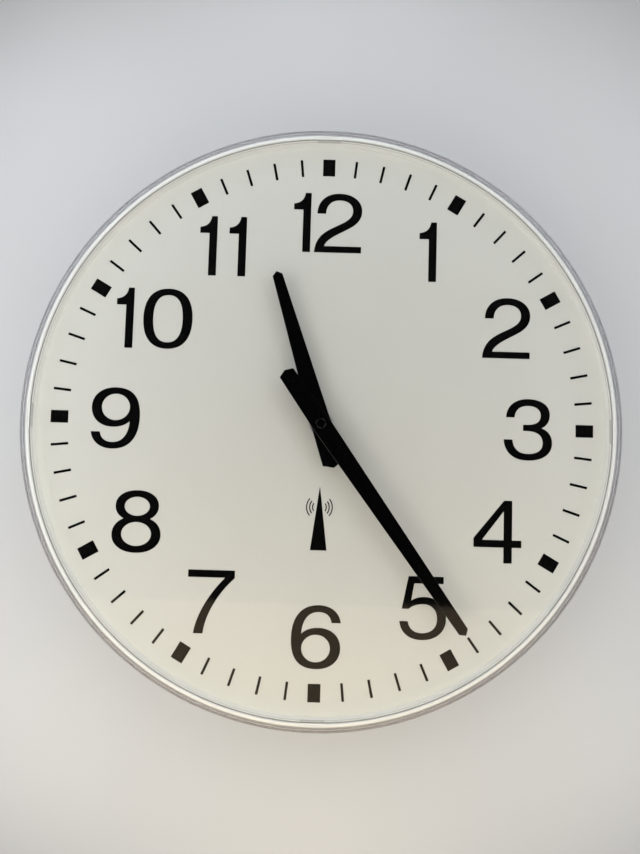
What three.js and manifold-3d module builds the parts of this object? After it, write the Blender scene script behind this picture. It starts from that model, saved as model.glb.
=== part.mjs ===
// Wall clock with a radio-controlled movement, as it hangs: the dial looks along -Y, 12 o'clock is up.
// Inside clockOnItsBack, x runs to 3 o'clock, y to 12 o'clock and z out from the wall, in millimetres.
import * as THREE from "three";
import { mergeVertices } from "three/addons/utils/BufferGeometryUtils.js";
import Module from "manifold-3d";

const wasm = await Module();
wasm.setup();

// Gaps that every piece shares
const seatGap = 0.3;
const layerGap = 0.6;
const pivotGap = 0.1;

// Case and cover
const clockDiameter = 400;
const lensWall = 2.4;
const lensFace = 2.4;
const lensCorner = 3.2;
const lensClearance = 1.6;
const floorWall = 2.5;
const rimWall = 1.9;
const rimAboveDial = 0.6;
const skirtWall = 2.5;
const skirtTopInset = 9.5;
const skirtBottomInset = 18;
const dialThickness = 1;
const bandWidth = 3.3;
const bandRound = 0.9;
const ringFootWidth = 1.6;
const notchWidth = 16;
const notchDepth = 1.2;
const notchHeight = 7;
const notchCount = 4;

// Ribs behind the case floor
const ribCount = 8;
const ribThickness = 1.6;
const ribHeight = 8;
const ribTaper = 10;
const hubRibGap = 3;

// Keyhole hanger
const hangerInset = 42;
const hangerLift = 1.4;
const hangerThickness = 1.2;
const hangerWidth = 36;
const hangerLength = 24;
const hangerCorner = 3;
const keyholeEntryRadius = 5;
const keyholeSlotWidth = 5;
const keyholeTravel = 8;
const hangerScrewSpacing = 24;
const hangerPostRadius = 4.5;
const hangerScrewRadius = 1.3;
const hangerScrewHead = 3;
const hangerScrewHeadHeight = 0.8;
const hangerScrewDepth = 8;

// Hands, with the time that they show
const minuteOfHour = 24;
const hourOfDay = 11;
const handThickness = 1;
const handBevel = 0.25;
const minuteHandSizes = {
  length: 168.5, point: 3, tipWidth: 7, hubWidth: 13, tailLength: 43.5, tailWidth: 11, tailPoint: 2.4,
};
const hourHandSizes = {
  length: 108.5, point: 2.7, tipWidth: 7, hubWidth: 13.8, tailLength: 31, tailWidth: 14, tailPoint: 3.4,
};
const colletFlange = 0.6;
const colletWall = 0.6;
const colletLip = 2;
const handRunGap = 0.6;
const capRadius = 3.65;
const capHeight = 1.6;
const capRoof = 0.5;
const capChamfer = 0.4;

// Shafts through the dial
const minuteArborRadius = 1.5;
const hourPipeWall = 0.85;
const bushingWall = 1.35;
const bushingFlangeRadius = 5.6;
const bushingFlange = 0.8;
const bushingAboveNut = 0.6;
const nutFlats = 12;
const nutHeight = 2.5;
const washerRadius = 8;
const washerThickness = 0.6;
const gasketRadius = 12;
const gasketThickness = 1;

// Wheels of the train: modules, teeth and thicknesses
const pressureAngle = THREE.MathUtils.degToRad(20);
const addendum = 0.8;
const rootClearance = 0.3;
const backlash = 0.05;
const driveModule = 0.3;
const minuteModule = 0.4;
const motionModule = 0.55;
const pinionShift = 0.4;
const cannonShift = 0.25;
const rotorTeeth = 8;
const intermediateTeeth = 64;
const intermediatePinionTeeth = 8;
const minuteTeeth = 60;
const cannonTeeth = 10;
const changeTeeth = 30;
const changePinionTeeth = 8;
const hourTeeth = 32;
const driveWheelThickness = 0.8;
const minuteWheelThickness = 1;
const motionWheelThickness = 1.2;
const pinionOverhang = 0.4;
const arborRadius = 0.8;
const pivotRadius = 0.5;
const pivotDepth = 0.8;
const readingHoleRadius = 0.7;
const readingHolePlace = 9.2;

// Where the wheels stand round the clock's axis
const intermediateAngle = THREE.MathUtils.degToRad(90);
const rotorAngle = THREE.MathUtils.degToRad(150);
const changeAngle = THREE.MathUtils.degToRad(180);

// Stepping motor
const magnetRadius = 3;
const magnetHeight = 1.2;
const airGap = 0.5;
const statorThickness = 0.8;
const statorLand = 2.2;
const statorBar = 4;
const statorReach = 12;
const statorWindow = 6;
const bobbinRadius = 4.6;
const bobbinTube = 3;
const bobbinFlange = 0.8;
const windingRecess = 0.5;
const statorScrewRadius = 0.7;
const statorScrewHead = 1.4;
const statorScrewHeadHeight = 0.8;
const statorScrewGrip = 3;

// Battery and its contacts
const batteryRadius = 7.05;
const batteryLength = 50.5;
const batteryNubRadius = 2.7;
const batteryNubLength = 1.2;
const batteryEdge = 0.5;
const batteryRecess = 0.55;
const contactThickness = 0.4;
const contactWidth = 9;
const contactHeight = 11;
const contactSpace = 2.6;

// Movement housing
const wallToMovement = 4;
const coverWall = 1.5;
const coverDepth = 2.6;
const housingWall = 1.4;
const housingCorner = 3;
const bayWall = 0.8;
const frontWall = 1.5;
const bridgeLift = 1.1;
const bridgeThickness = 1;
const bridgeArm = 3;
const postRadius = 1.5;
const postPinRadius = 0.8;
const latchWidth = 6;
const latchThickness = 1;
const latchLength = 5;
const latchWindow = 2;
const latchFrame = 1;
const cradleThickness = 3;

// Circuit board and what it carries
const boardThickness = 1;
const boardLift = 0.4;
const boardEdge = 0.5;
const boardPostInset = 2.2;
const tongueLeft = 7.6;
const tongueHalfWidth = 2.8;
const sensorSize = 1.6;
const chipSize = 7;
const chipThickness = 1.2;
const crystalRadius = 1.1;
const crystalLength = 6;
const crystalSpacing = 4;

// Antenna
const antennaRodRadius = 3.5;
const antennaRodLength = 54;
const antennaCoilRadius = 5.2;
const antennaCoilLength = 20;

// Buttons
const buttonRadius = 2;
const buttonProud = 1.5;
const buttonFlange = 0.8;
const buttonFlangeHeight = 0.7;
const buttonTravel = 0.5;
const buttonSpacing = 9;
const domeRadius = 2.2;
const domeThickness = 0.4;

// Facets of round outlines
const ringFacets = 60;
const shaftFacets = 16;
const smallFacets = 8;
const cornerFacets = 4;

// Radii of the wheels
const tipRadius = (teeth, module, shift) => module * (teeth / 2 + shift + addendum);
const rootRadius = (teeth, module, shift) => module * (teeth / 2 + shift - addendum - rootClearance);
const centreDistance = (first, second, module) => (module * (first + second)) / 2;
const polar = (angle, radius) => new THREE.Vector2(Math.cos(angle) * radius, Math.sin(angle) * radius);

const minuteTip = tipRadius(minuteTeeth, minuteModule, -pinionShift);
const changeTip = tipRadius(changeTeeth, motionModule, -cannonShift);
const hourTip = tipRadius(hourTeeth, motionModule, -pinionShift);
const intermediateTip = tipRadius(intermediateTeeth, driveModule, -pinionShift);

// Axes of the train, seen from the front
const clockAxis = new THREE.Vector2(0, 0);
const intermediateAxis = polar(
  intermediateAngle, centreDistance(minuteTeeth, intermediatePinionTeeth, minuteModule));
const rotorAxis = intermediateAxis.clone().add(
  polar(rotorAngle, centreDistance(intermediateTeeth, rotorTeeth, driveModule)));
const changeAxis = polar(changeAngle, centreDistance(cannonTeeth, changeTeeth, motionModule));

// Motor layout
const statorHole = magnetRadius + airGap;
const statorDisc = statorHole + statorLand;
const coilX = rotorAxis.x - statorBar / 2 - statorWindow - bobbinRadius;
const coreEnd = statorReach - statorBar / 2;
const bobbinHalf = statorReach - statorBar - seatGap;

// Housing outline round the battery, the train, the motor and the antenna
const trainReach = Math.max(minuteTip, hourTip, changeTip - changeAxis.y);
const bayTop = -trainReach - layerGap;
const batteryY = bayTop - bayWall - seatGap - batteryRadius;
const antennaY = rotorAxis.y + statorReach + layerGap + antennaCoilRadius;
const innerHalf = Math.max(
  batteryLength / 2 + contactSpace, layerGap + bobbinRadius - coilX, antennaRodLength / 2 + layerGap);
const innerBottom = batteryY - batteryRadius - seatGap;
const innerTop = antennaY + antennaCoilRadius + layerGap;
const housingOutline = {
  left: -innerHalf - housingWall, right: innerHalf + housingWall,
  bottom: innerBottom - housingWall, top: innerTop + housingWall,
};
const housingInside = { left: -innerHalf, right: innerHalf, bottom: innerBottom, top: innerTop };

// Heights of the movement, from its rear face to its front face
const coverBack = wallToMovement;
const coverInside = coverBack + coverWall;
const splitHeight = coverInside + coverDepth;
const bridgeBack = coverInside + bridgeLift;
const bridgeFront = bridgeBack + bridgeThickness;
const driveBack = bridgeFront + layerGap + pinionOverhang;
const driveFront = driveBack + driveWheelThickness;
const statorBack = driveFront + pinionOverhang * 2;
const statorFront = statorBack + statorThickness;
const minuteBack = statorFront + layerGap;
const minuteFront = minuteBack + minuteWheelThickness;
const changeBack = minuteFront + pinionOverhang + layerGap;
const changeFront = changeBack + motionWheelThickness;
const hourBack = changeFront + pinionOverhang + layerGap;
const hourFront = hourBack + motionWheelThickness;
const trainFront = hourFront + pinionOverhang + bushingFlange + seatGap;
const batteryZ = coverBack + batteryRecess + batteryRadius;
const frontInside = Math.max(trainFront, batteryZ + batteryRadius + seatGap);
const frontFace = frontInside + frontWall;
const bushingBack = frontInside - seatGap - bushingFlange;
const coreBack = statorFront + seatGap;
const coreFront = coreBack + statorThickness;
const coilZ = (coreBack + coreFront) / 2;
const boardBack = bridgeFront + boardLift;
const boardFront = boardBack + boardThickness;
const antennaZ = (coverInside + frontInside) / 2;

// Heights from the gasket to the front of the cover
const gasketBack = frontFace + seatGap;
const floorBack = gasketBack + gasketThickness + seatGap;
const floorFront = floorBack + floorWall;
const dialBack = floorFront + seatGap;
const dialFront = dialBack + dialThickness;
const washerBack = dialFront + seatGap;
const nutBack = washerBack + washerThickness + seatGap;
const nutFront = nutBack + nutHeight;
const bushingFront = nutFront + bushingAboveNut;
const hourColletBack = bushingFront + handRunGap;
const hourHandBack = hourColletBack + colletFlange + seatGap;
const hourHandFront = hourHandBack + handThickness;
const hourColletFront = hourHandFront + seatGap;
const minuteColletBack = hourColletFront + handRunGap;
const minuteHandBack = minuteColletBack + colletFlange + seatGap;
const minuteHandFront = minuteHandBack + handThickness;
const capBack = minuteHandFront + seatGap;
const capFront = capBack + capHeight;
const arborTip = capFront - capRoof - seatGap;
const lensBack = capFront + lensClearance;
const lensFront = lensBack + lensFace;

// Radii through the dial
const hourPipeBore = minuteArborRadius + pivotGap * 1.5;
const hourPipeRadius = hourPipeBore + hourPipeWall;
const bushingBore = hourPipeRadius + pivotGap * 1.5;
const bushingRadius = bushingBore + bushingWall;
const bushingHole = bushingRadius + seatGap;
const hourColletBore = hourPipeRadius + seatGap;
const hourColletRadius = hourColletBore + colletWall;
const minuteColletBore = minuteArborRadius + seatGap;
const minuteColletRadius = minuteColletBore + colletWall;

// Radii of the case
const lensRadius = clockDiameter / 2;
const lensBore = lensRadius - lensWall;
const rimRadius = lensBore - seatGap;
const rimBore = rimRadius - rimWall;
const dialRadius = rimBore - seatGap;
const rimFront = dialFront + rimAboveDial;
const skirtTop = lensRadius - skirtTopInset;
const skirtBottom = lensRadius - skirtBottomInset;
const hangerHeight = skirtBottom - hangerInset;

// Hanger heights
const hangerBack = hangerLift;
const hangerFront = hangerBack + hangerThickness;
const hangerPostEnd = hangerFront + seatGap;

// Closed geometry to a solid and back
function solidOf(geometry) {
  const bare = geometry.index ? geometry.toNonIndexed() : geometry.clone();
  bare.deleteAttribute("normal");
  bare.deleteAttribute("uv");
  const merged = mergeVertices(bare, 1e-4);
  return new wasm.Manifold(new wasm.Mesh({
    numProp: 3,
    vertProperties: merged.attributes.position.array,
    triVerts: new Uint32Array(merged.index.array),
  }));
}

function geometryOf(solid) {
  const mesh = solid.getMesh();
  const geometry = new THREE.BufferGeometry();
  geometry.setAttribute("position", new THREE.BufferAttribute(mesh.vertProperties, mesh.numProp));
  geometry.setIndex(new THREE.BufferAttribute(mesh.triVerts, 1));
  return geometry;
}

function join(first, ...others) {
  let solid = solidOf(first);
  for (const other of others) {
    solid = solid.add(solidOf(other));
  }
  return geometryOf(solid);
}

function cut(first, ...tools) {
  let solid = solidOf(first);
  for (const tool of tools) {
    solid = solid.subtract(solidOf(tool));
  }
  return geometryOf(solid);
}

// Basic forms, each between two heights
function revolve(profile, facets) {
  const closed = [...profile, profile[0]].map(([radius, height]) => new THREE.Vector2(radius, height));
  return new THREE.LatheGeometry(closed, facets).rotateX(Math.PI / 2);
}

function plate(shape, back, front) {
  const settings = { depth: front - back, bevelEnabled: false, curveSegments: cornerFacets };
  return new THREE.ExtrudeGeometry(shape, settings).translate(0, 0, back);
}

function disc(centre, radius, back, front, facets = shaftFacets) {
  return new THREE.CylinderGeometry(radius, radius, front - back, facets)
    .rotateX(Math.PI / 2)
    .translate(centre.x, centre.y, (back + front) / 2);
}

function tube(centre, radius, bore, back, front, facets = shaftFacets) {
  return cut(
    disc(centre, radius, back, front, facets),
    disc(centre, bore, back - 1, front + 1, facets));
}

function block(left, right, bottom, top, back, front) {
  return new THREE.BoxGeometry(right - left, top - bottom, front - back)
    .translate((left + right) / 2, (bottom + top) / 2, (back + front) / 2);
}

function roundedRectangle({ left, right, bottom, top }, radius) {
  const shape = new THREE.Shape();
  shape.moveTo(left + radius, bottom);
  shape.absarc(right - radius, bottom + radius, radius, -Math.PI / 2, 0);
  shape.absarc(right - radius, top - radius, radius, 0, Math.PI / 2);
  shape.absarc(left + radius, top - radius, radius, Math.PI / 2, Math.PI);
  shape.absarc(left + radius, bottom + radius, radius, Math.PI, Math.PI * 1.5);
  return shape;
}

// A flat bar with round ends from one axis to another
function link(from, to, radius, back, front) {
  const angle = Math.atan2(to.y - from.y, to.x - from.x);
  const shape = new THREE.Shape();
  shape.absarc(to.x, to.y, radius, angle - Math.PI / 2, angle + Math.PI / 2);
  shape.absarc(from.x, from.y, radius, angle + Math.PI / 2, angle + Math.PI * 1.5);
  return plate(shape, back, front);
}

// Rear case: floor, rim that holds the dial, tapered rear skirt, ribs and hanger posts
function rearCase() {
  const shell = revolve([
    [bushingHole, floorBack],
    [skirtTop - skirtWall, floorBack],
    [skirtBottom - skirtWall, 0],
    [skirtBottom, 0],
    [skirtTop, floorBack],
    [lensRadius, floorBack],
    [lensRadius, floorFront],
    [rimRadius, floorFront],
    [rimRadius, rimFront],
    [rimBore, rimFront],
    [rimBore, floorFront],
    [bushingHole, floorFront],
  ], ringFacets);
  const additions = [hubRib(), ...radialRibs(), ...hangerPosts()];
  const holes = hangerScrewPlaces().map((place) => disc(
    place, hangerScrewRadius + seatGap, hangerPostEnd - 1, hangerPostEnd + hangerScrewDepth, smallFacets));
  return cut(join(shell, ...additions), ...holes);
}

const ribInset = skirtTopInset + skirtWall / 2;
const housingReach = Math.hypot(
  housingOutline.right, Math.max(housingOutline.top, -housingOutline.bottom));
const hubRibRadius = housingReach + hubRibGap + latchThickness;

function hubRib() {
  return tube(
    clockAxis, hubRibRadius + ribThickness, hubRibRadius, floorBack - ribHeight, floorBack + floorWall / 2,
    ribCount * 3);
}

function radialRibs() {
  const skirtSlope = (skirtBottomInset - skirtTopInset) / floorBack;
  const outerEnd = lensRadius - ribInset;
  const shape = new THREE.Shape([
    new THREE.Vector2(hubRibRadius + ribThickness / 2, floorBack + floorWall / 2),
    new THREE.Vector2(hubRibRadius + ribThickness / 2, floorBack - ribHeight / 2),
    new THREE.Vector2(hubRibRadius + ribTaper, floorBack - ribHeight),
    new THREE.Vector2(outerEnd - skirtSlope * ribHeight, floorBack - ribHeight),
    new THREE.Vector2(outerEnd, floorBack + floorWall / 2),
  ]);
  return Array.from({ length: ribCount }, (_, index) => new THREE.ExtrudeGeometry(
    shape, { depth: ribThickness, bevelEnabled: false })
    .translate(0, 0, -ribThickness / 2)
    .rotateX(Math.PI / 2)
    .rotateZ((index + 0.5) * (2 * Math.PI / ribCount)));
}

function hangerScrewPlaces() {
  return [-1, 1].map((side) => new THREE.Vector2(side * hangerScrewSpacing / 2, hangerHeight));
}

function hangerPosts() {
  return hangerScrewPlaces().flatMap((place) => [
    disc(place, hangerPostRadius, hangerPostEnd, floorBack + floorWall / 2),
    block(
      place.x - ribThickness / 2, place.x + ribThickness / 2, place.y + hangerPostRadius / 2,
      skirtBottom - skirtWall, floorBack - ribHeight, floorBack + floorWall / 2),
  ]);
}

// Keyhole plate: the screw's head goes in at the round entry and the plate drops onto its shank
function hangerPlate() {
  const outline = roundedRectangle({
    left: -hangerWidth / 2, right: hangerWidth / 2,
    bottom: hangerHeight - hangerLength / 2, top: hangerHeight + hangerLength / 2,
  }, hangerCorner);
  const entry = new THREE.Vector2(0, hangerHeight - keyholeTravel / 2);
  const rest = new THREE.Vector2(0, hangerHeight + keyholeTravel / 2);
  const screwHoles = hangerScrewPlaces().map((place) => disc(
    place, hangerScrewRadius + seatGap, hangerBack - 1, hangerFront + 1, smallFacets));
  return cut(
    plate(outline, hangerBack, hangerFront),
    disc(entry, keyholeEntryRadius, hangerBack - 1, hangerFront + 1),
    link(entry, rest, keyholeSlotWidth / 2, hangerBack - 1, hangerFront + 1),
    ...screwHoles);
}

function hangerScrew(place) {
  const headFront = hangerBack - seatGap;
  return join(
    disc(place, hangerScrewHead, headFront - hangerScrewHeadHeight, headFront, smallFacets),
    disc(place, hangerScrewRadius, headFront - 0.1, hangerPostEnd + hangerScrewDepth - seatGap, smallFacets));
}

// White ring that stands on the case's rim and carries the cover
function spacerRing() {
  const ringBack = rimFront + seatGap;
  const ringFront = lensBack - seatGap;
  const bandBore = rimRadius - bandWidth;
  const ring = revolve([
    [rimRadius - ringFootWidth, ringBack],
    [rimRadius, ringBack],
    [rimRadius, ringFront - bandRound],
    [rimRadius - bandRound, ringFront],
    [bandBore + bandRound, ringFront],
    [bandBore, ringFront - bandRound],
    [bandBore, ringFront - 2 * bandRound],
  ], ringFacets);
  const notches = Array.from({ length: notchCount }, (_, index) => block(
    bandBore - notchDepth, bandBore + notchDepth, -notchWidth / 2, notchWidth / 2,
    ringFront - notchHeight, ringFront + 1).rotateZ((index * 2 * Math.PI) / notchCount));
  return cut(ring, ...notches);
}

// Clear cover: flat front, rounded corner, and a skirt down to the case floor's edge
function frontLens() {
  const arc = (radius, turns) => Array.from({ length: turns + 1 }, (_, index) => {
    const angle = (index / turns) * (Math.PI / 2);
    return [
      lensRadius - lensCorner + Math.cos(angle) * radius,
      lensFront - lensCorner + Math.sin(angle) * radius,
    ];
  });
  const innerCorner = Math.max(lensCorner - lensWall, 0.1);
  return revolve([
    [lensRadius, floorFront + seatGap],
    ...arc(lensCorner, 3),
    [0, lensFront],
    [0, lensBack],
    [lensBore - innerCorner, lensBack],
    [lensBore, lensBack - innerCorner],
    [lensBore, floorFront + seatGap],
  ], ringFacets);
}

// A flat hand with bevelled edges, pointing to 12 o'clock, with a hole for its collet
function hand({ length, point, tipWidth, hubWidth, tailLength, tailWidth, tailPoint }, hole, back) {
  const half = (width) => width / 2 - handBevel;
  const corners = [
    [half(hubWidth), 0],
    [half(tipWidth), length - point],
    [0, length - handBevel],
    [-half(tipWidth), length - point],
    [-half(hubWidth), 0],
    [-half(tailWidth), tailPoint - tailLength],
    [0, handBevel - tailLength],
    [half(tailWidth), tailPoint - tailLength],
  ];
  const outline = new THREE.Shape(corners.map(([x, y]) => new THREE.Vector2(x, y)));
  const blank = new THREE.ExtrudeGeometry(outline, {
    depth: handThickness - 2 * handBevel,
    bevelEnabled: true, bevelSegments: 1, bevelSize: handBevel, bevelThickness: handBevel,
  }).translate(0, 0, back + handBevel);
  return cut(blank, disc(clockAxis, hole, back - 1, back + handThickness + 1));
}

function collet(radius, bore, back, front) {
  return cut(
    join(
      disc(clockAxis, radius + colletLip, back, back + colletFlange),
      disc(clockAxis, radius, back, front)),
    disc(clockAxis, bore, back - 1, front + 1));
}

function handCap() {
  return revolve([
    [0, arborTip + seatGap],
    [minuteColletBore, arborTip + seatGap],
    [minuteColletBore, capBack],
    [capRadius, capBack],
    [capRadius, capFront - capChamfer],
    [capRadius - capChamfer, capFront],
    [0, capFront],
  ], shaftFacets);
}

// Threaded bushing, nut, washer and gasket that clamp the movement to the case
function threadedBushing() {
  return cut(
    join(
      disc(clockAxis, bushingFlangeRadius, bushingBack, bushingBack + bushingFlange),
      disc(clockAxis, bushingRadius, bushingBack, bushingFront)),
    disc(clockAxis, bushingBore, bushingBack - 1, bushingFront + 1));
}

function fixingNut() {
  return cut(
    disc(clockAxis, nutFlats / Math.sqrt(3), nutBack, nutFront, 6),
    disc(clockAxis, bushingHole, nutBack - 1, nutFront + 1));
}

// Outline of an involute wheel. Flanks have one chord on a wheel and two on a pinion
function gearOutline(teeth, module, shift, flankChords) {
  const pitch = (module * teeth) / 2;
  const base = pitch * Math.cos(pressureAngle);
  const tip = tipRadius(teeth, module, shift);
  const root = rootRadius(teeth, module, shift);
  const involute = (angle) => Math.tan(angle) - angle;
  const halfTooth = (Math.PI / 2 + 2 * shift * Math.tan(pressureAngle)) / teeth - backlash / (2 * pitch);
  const halfAngle = (radius) =>
    halfTooth + involute(pressureAngle) - involute(Math.acos(Math.min(base / radius, 1)));
  const flankStart = flankChords > 1 ? Math.max(root, base) : root;
  const radii = Array.from(
    { length: flankChords + 1 }, (_, index) => flankStart + ((tip - flankStart) * index) / flankChords);
  if (root < flankStart) {
    radii.unshift(root);
  }
  const points = [];
  for (let tooth = 0; tooth < teeth; tooth += 1) {
    const middle = (tooth * 2 * Math.PI) / teeth;
    radii.forEach((radius) => points.push(polar(middle - halfAngle(radius), radius)));
    [...radii].reverse().forEach((radius) => points.push(polar(middle + halfAngle(radius), radius)));
  }
  return new THREE.Shape(points);
}

const wheelChords = 1;
const pinionChords = 2;

function wheel(teeth, module, shift, back, front, chords = wheelChords) {
  return plate(gearOutline(teeth, module, shift, chords), back, front);
}

// The turn that sets a follower's gap against a driver's tooth
function meshTurn(driver, driverTeeth, driverTurn, follower, followerTeeth) {
  const direction = Math.atan2(follower.y - driver.y, follower.x - driver.x);
  const phase = ((direction - driverTurn) * driverTeeth) / (2 * Math.PI);
  return direction + Math.PI - ((0.5 - phase) * 2 * Math.PI) / followerTeeth;
}

const intermediatePinionTurn = meshTurn(
  clockAxis, minuteTeeth, 0, intermediateAxis, intermediatePinionTeeth);
const rotorTurn = meshTurn(intermediateAxis, intermediateTeeth, 0, rotorAxis, rotorTeeth);
const changeTurn = meshTurn(clockAxis, cannonTeeth, 0, changeAxis, changeTeeth);
const hourTurn = meshTurn(changeAxis, changePinionTeeth, 0, clockAxis, hourTeeth);

// A turning shaft with a thin pivot at each end, from the bridge to the front wall
function arbor(radius, rearShoulder, frontShoulder) {
  return [
    disc(clockAxis, pivotRadius, bridgeFront - pivotDepth, rearShoulder + 0.1, smallFacets),
    disc(clockAxis, radius, rearShoulder, frontShoulder, smallFacets),
    disc(clockAxis, pivotRadius, frontShoulder - 0.1, frontInside + pivotDepth, smallFacets),
  ];
}

const rearShoulder = bridgeFront + seatGap;
const frontShoulder = frontInside - seatGap;

function rotorPinion() {
  return join(
    wheel(rotorTeeth, driveModule, pinionShift, driveBack - pinionOverhang, driveFront + pinionOverhang,
      pinionChords).rotateZ(rotorTurn),
    ...arbor(arborRadius, rearShoulder, frontShoulder));
}

function rotorMagnet() {
  const middle = (statorBack + statorFront) / 2;
  return tube(
    clockAxis, magnetRadius, arborRadius + seatGap, middle - magnetHeight / 2, middle + magnetHeight / 2);
}

function intermediateWheel() {
  return join(
    wheel(intermediateTeeth, driveModule, -pinionShift, driveBack, driveFront),
    wheel(intermediatePinionTeeth, minuteModule, pinionShift, minuteBack - pinionOverhang,
      minuteFront + pinionOverhang, pinionChords).rotateZ(intermediatePinionTurn),
    ...arbor(arborRadius, rearShoulder, frontShoulder));
}

function minuteWheel() {
  return cut(
    wheel(minuteTeeth, minuteModule, -pinionShift, minuteBack, minuteFront),
    disc(clockAxis, minuteArborRadius + seatGap, minuteBack - 1, minuteFront + 1),
    disc(new THREE.Vector2(readingHolePlace, 0), readingHoleRadius, minuteBack - 1, minuteFront + 1,
      smallFacets));
}

function minuteArbor() {
  return join(
    disc(clockAxis, pivotRadius, bridgeFront - pivotDepth, rearShoulder + 0.1, smallFacets),
    disc(clockAxis, minuteArborRadius, rearShoulder, arborTip),
    wheel(cannonTeeth, motionModule, cannonShift, changeBack - pinionOverhang, changeFront + pinionOverhang,
      pinionChords));
}

// Runs on a stud of the front case, because the minute wheel passes behind it
function minuteChangeWheel() {
  return cut(
    join(
      wheel(changeTeeth, motionModule, -cannonShift, changeBack, changeFront).rotateZ(changeTurn),
      wheel(changePinionTeeth, motionModule, pinionShift, changeFront - 0.1, hourFront + pinionOverhang,
        pinionChords)),
    disc(clockAxis, arborRadius + pivotGap, changeBack - 1, frontInside, smallFacets));
}

function changeStud() {
  return join(
    disc(changeAxis, arborRadius, changeBack, frontInside + frontWall / 2, smallFacets),
    disc(changeAxis, rootRadius(changePinionTeeth, motionModule, pinionShift),
      hourFront + pinionOverhang + seatGap, frontInside + frontWall / 2, smallFacets));
}

function hourWheel() {
  return cut(
    join(
      wheel(hourTeeth, motionModule, -pinionShift, hourBack, hourFront).rotateZ(hourTurn),
      disc(clockAxis, hourPipeRadius, hourBack, hourHandFront)),
    disc(clockAxis, hourPipeBore, hourBack - 1, hourHandFront + 1));
}

// Stepping motor: stator plate with the rotor's hole, core bar, bobbin, winding and two screws
const statorScrewPlaces = [-1, 1].map((side) => new THREE.Vector2(coilX, rotorAxis.y + side * coreEnd));

function statorScrewHoles() {
  return statorScrewPlaces.map((place) => disc(
    place, statorScrewRadius + seatGap, statorBack - 1, coreFront + 1, smallFacets));
}

function motorStator() {
  const barEnds = [-1, 1].map((side) => new THREE.Vector2(rotorAxis.x, rotorAxis.y + side * coreEnd));
  const radius = statorBar / 2;
  return cut(
    join(
      disc(rotorAxis, statorDisc, statorBack, statorFront),
      link(barEnds[0], barEnds[1], radius, statorBack, statorFront),
      link(barEnds[0], statorScrewPlaces[0], radius, statorBack, statorFront),
      link(barEnds[1], statorScrewPlaces[1], radius, statorBack, statorFront)),
    disc(rotorAxis, statorHole, statorBack - 1, statorFront + 1),
    ...statorScrewHoles());
}

function motorCore() {
  return cut(
    link(statorScrewPlaces[0], statorScrewPlaces[1], statorBar / 2, coreBack, coreFront),
    ...statorScrewHoles());
}

// Revolved round the coil's own axis, then laid along y
function alongCoil(profile) {
  return revolve(profile, shaftFacets).rotateX(-Math.PI / 2).translate(coilX, rotorAxis.y, coilZ);
}

function coilBobbin() {
  const spool = alongCoil([
    [0, -bobbinHalf],
    [bobbinRadius, -bobbinHalf],
    [bobbinRadius, bobbinFlange - bobbinHalf],
    [bobbinTube, bobbinFlange - bobbinHalf],
    [bobbinTube, bobbinHalf - bobbinFlange],
    [bobbinRadius, bobbinHalf - bobbinFlange],
    [bobbinRadius, bobbinHalf],
    [0, bobbinHalf],
  ]);
  return cut(spool, block(
    coilX - statorBar / 2 - seatGap, coilX + statorBar / 2 + seatGap,
    rotorAxis.y - statorReach, rotorAxis.y + statorReach, coreBack - seatGap, coreFront + seatGap));
}

function motorCoil() {
  const half = bobbinHalf - bobbinFlange - seatGap;
  return alongCoil([
    [bobbinTube + seatGap, -half],
    [bobbinRadius - windingRecess, -half],
    [bobbinRadius - windingRecess, half],
    [bobbinTube + seatGap, half],
  ]);
}

function statorScrew(place) {
  const headFront = statorBack - seatGap;
  return join(
    disc(place, statorScrewHead, headFront - statorScrewHeadHeight, headFront, smallFacets),
    disc(place, statorScrewRadius, headFront - 0.1, coreFront + statorScrewGrip, smallFacets));
}

// Posts that hang from the front wall: three for the bridge, two for the motor, two for the board
const boardRight = innerHalf - boardEdge;
const boardLeft = intermediateTip + layerGap;
const boardBottom = bayTop + boardEdge;
const boardTop = rotorAxis.y + statorReach;
const bridgePosts = [
  intermediateAxis.clone().add(
    polar(THREE.MathUtils.degToRad(48), intermediateTip + postRadius + layerGap + pivotGap)),
  changeAxis.clone().add(polar(THREE.MathUtils.degToRad(230), changeTip + postRadius + layerGap)),
  rotorAxis.clone().add(polar(THREE.MathUtils.degToRad(62), statorDisc + postRadius + layerGap * 4)),
];
const boardPosts = [boardBottom + boardPostInset, boardTop - boardPostInset].map(
  (y) => new THREE.Vector2(boardRight - boardPostInset, y));

function pinnedPost(place, seat, pinEnd) {
  return join(
    disc(place, postRadius, seat + seatGap, frontInside + frontWall / 2, smallFacets),
    disc(place, postPinRadius, pinEnd, seat + 1, smallFacets));
}

function motorPost(place) {
  return cut(
    disc(place, statorBar / 2, coreFront + seatGap, frontInside + frontWall / 2, smallFacets),
    disc(place, statorScrewRadius + seatGap, coreFront, coreFront + statorScrewGrip + seatGap, smallFacets));
}

// Cradle whose hollow fits a rod that lies along x
function cradle(x, rodY, rodZ, rodRadius, bottom, top, back, front) {
  const hollow = disc(clockAxis, rodRadius + seatGap, -cradleThickness, cradleThickness, smallFacets * 1.5)
    .rotateY(Math.PI / 2)
    .translate(x, rodY, rodZ);
  return cut(
    block(x - cradleThickness / 2, x + cradleThickness / 2, bottom, top, back, front), hollow);
}

const antennaCradleX = antennaRodLength / 2 - cradleThickness;
const batteryCradleX = batteryLength / 4;

function batteryCradles() {
  return [-1, 1].map((side) => cradle(
    side * batteryCradleX, batteryY, batteryZ, batteryRadius, innerBottom - housingWall / 2,
    bayTop - bayWall / 2, batteryZ + batteryRadius / 2, frontInside + frontWall / 2));
}

function antennaCradles(top, back, front) {
  return [-1, 1].map((side) => cradle(
    side * antennaCradleX, antennaY, antennaZ, antennaRodRadius, antennaY - antennaRodRadius,
    top, back, front));
}

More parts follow.
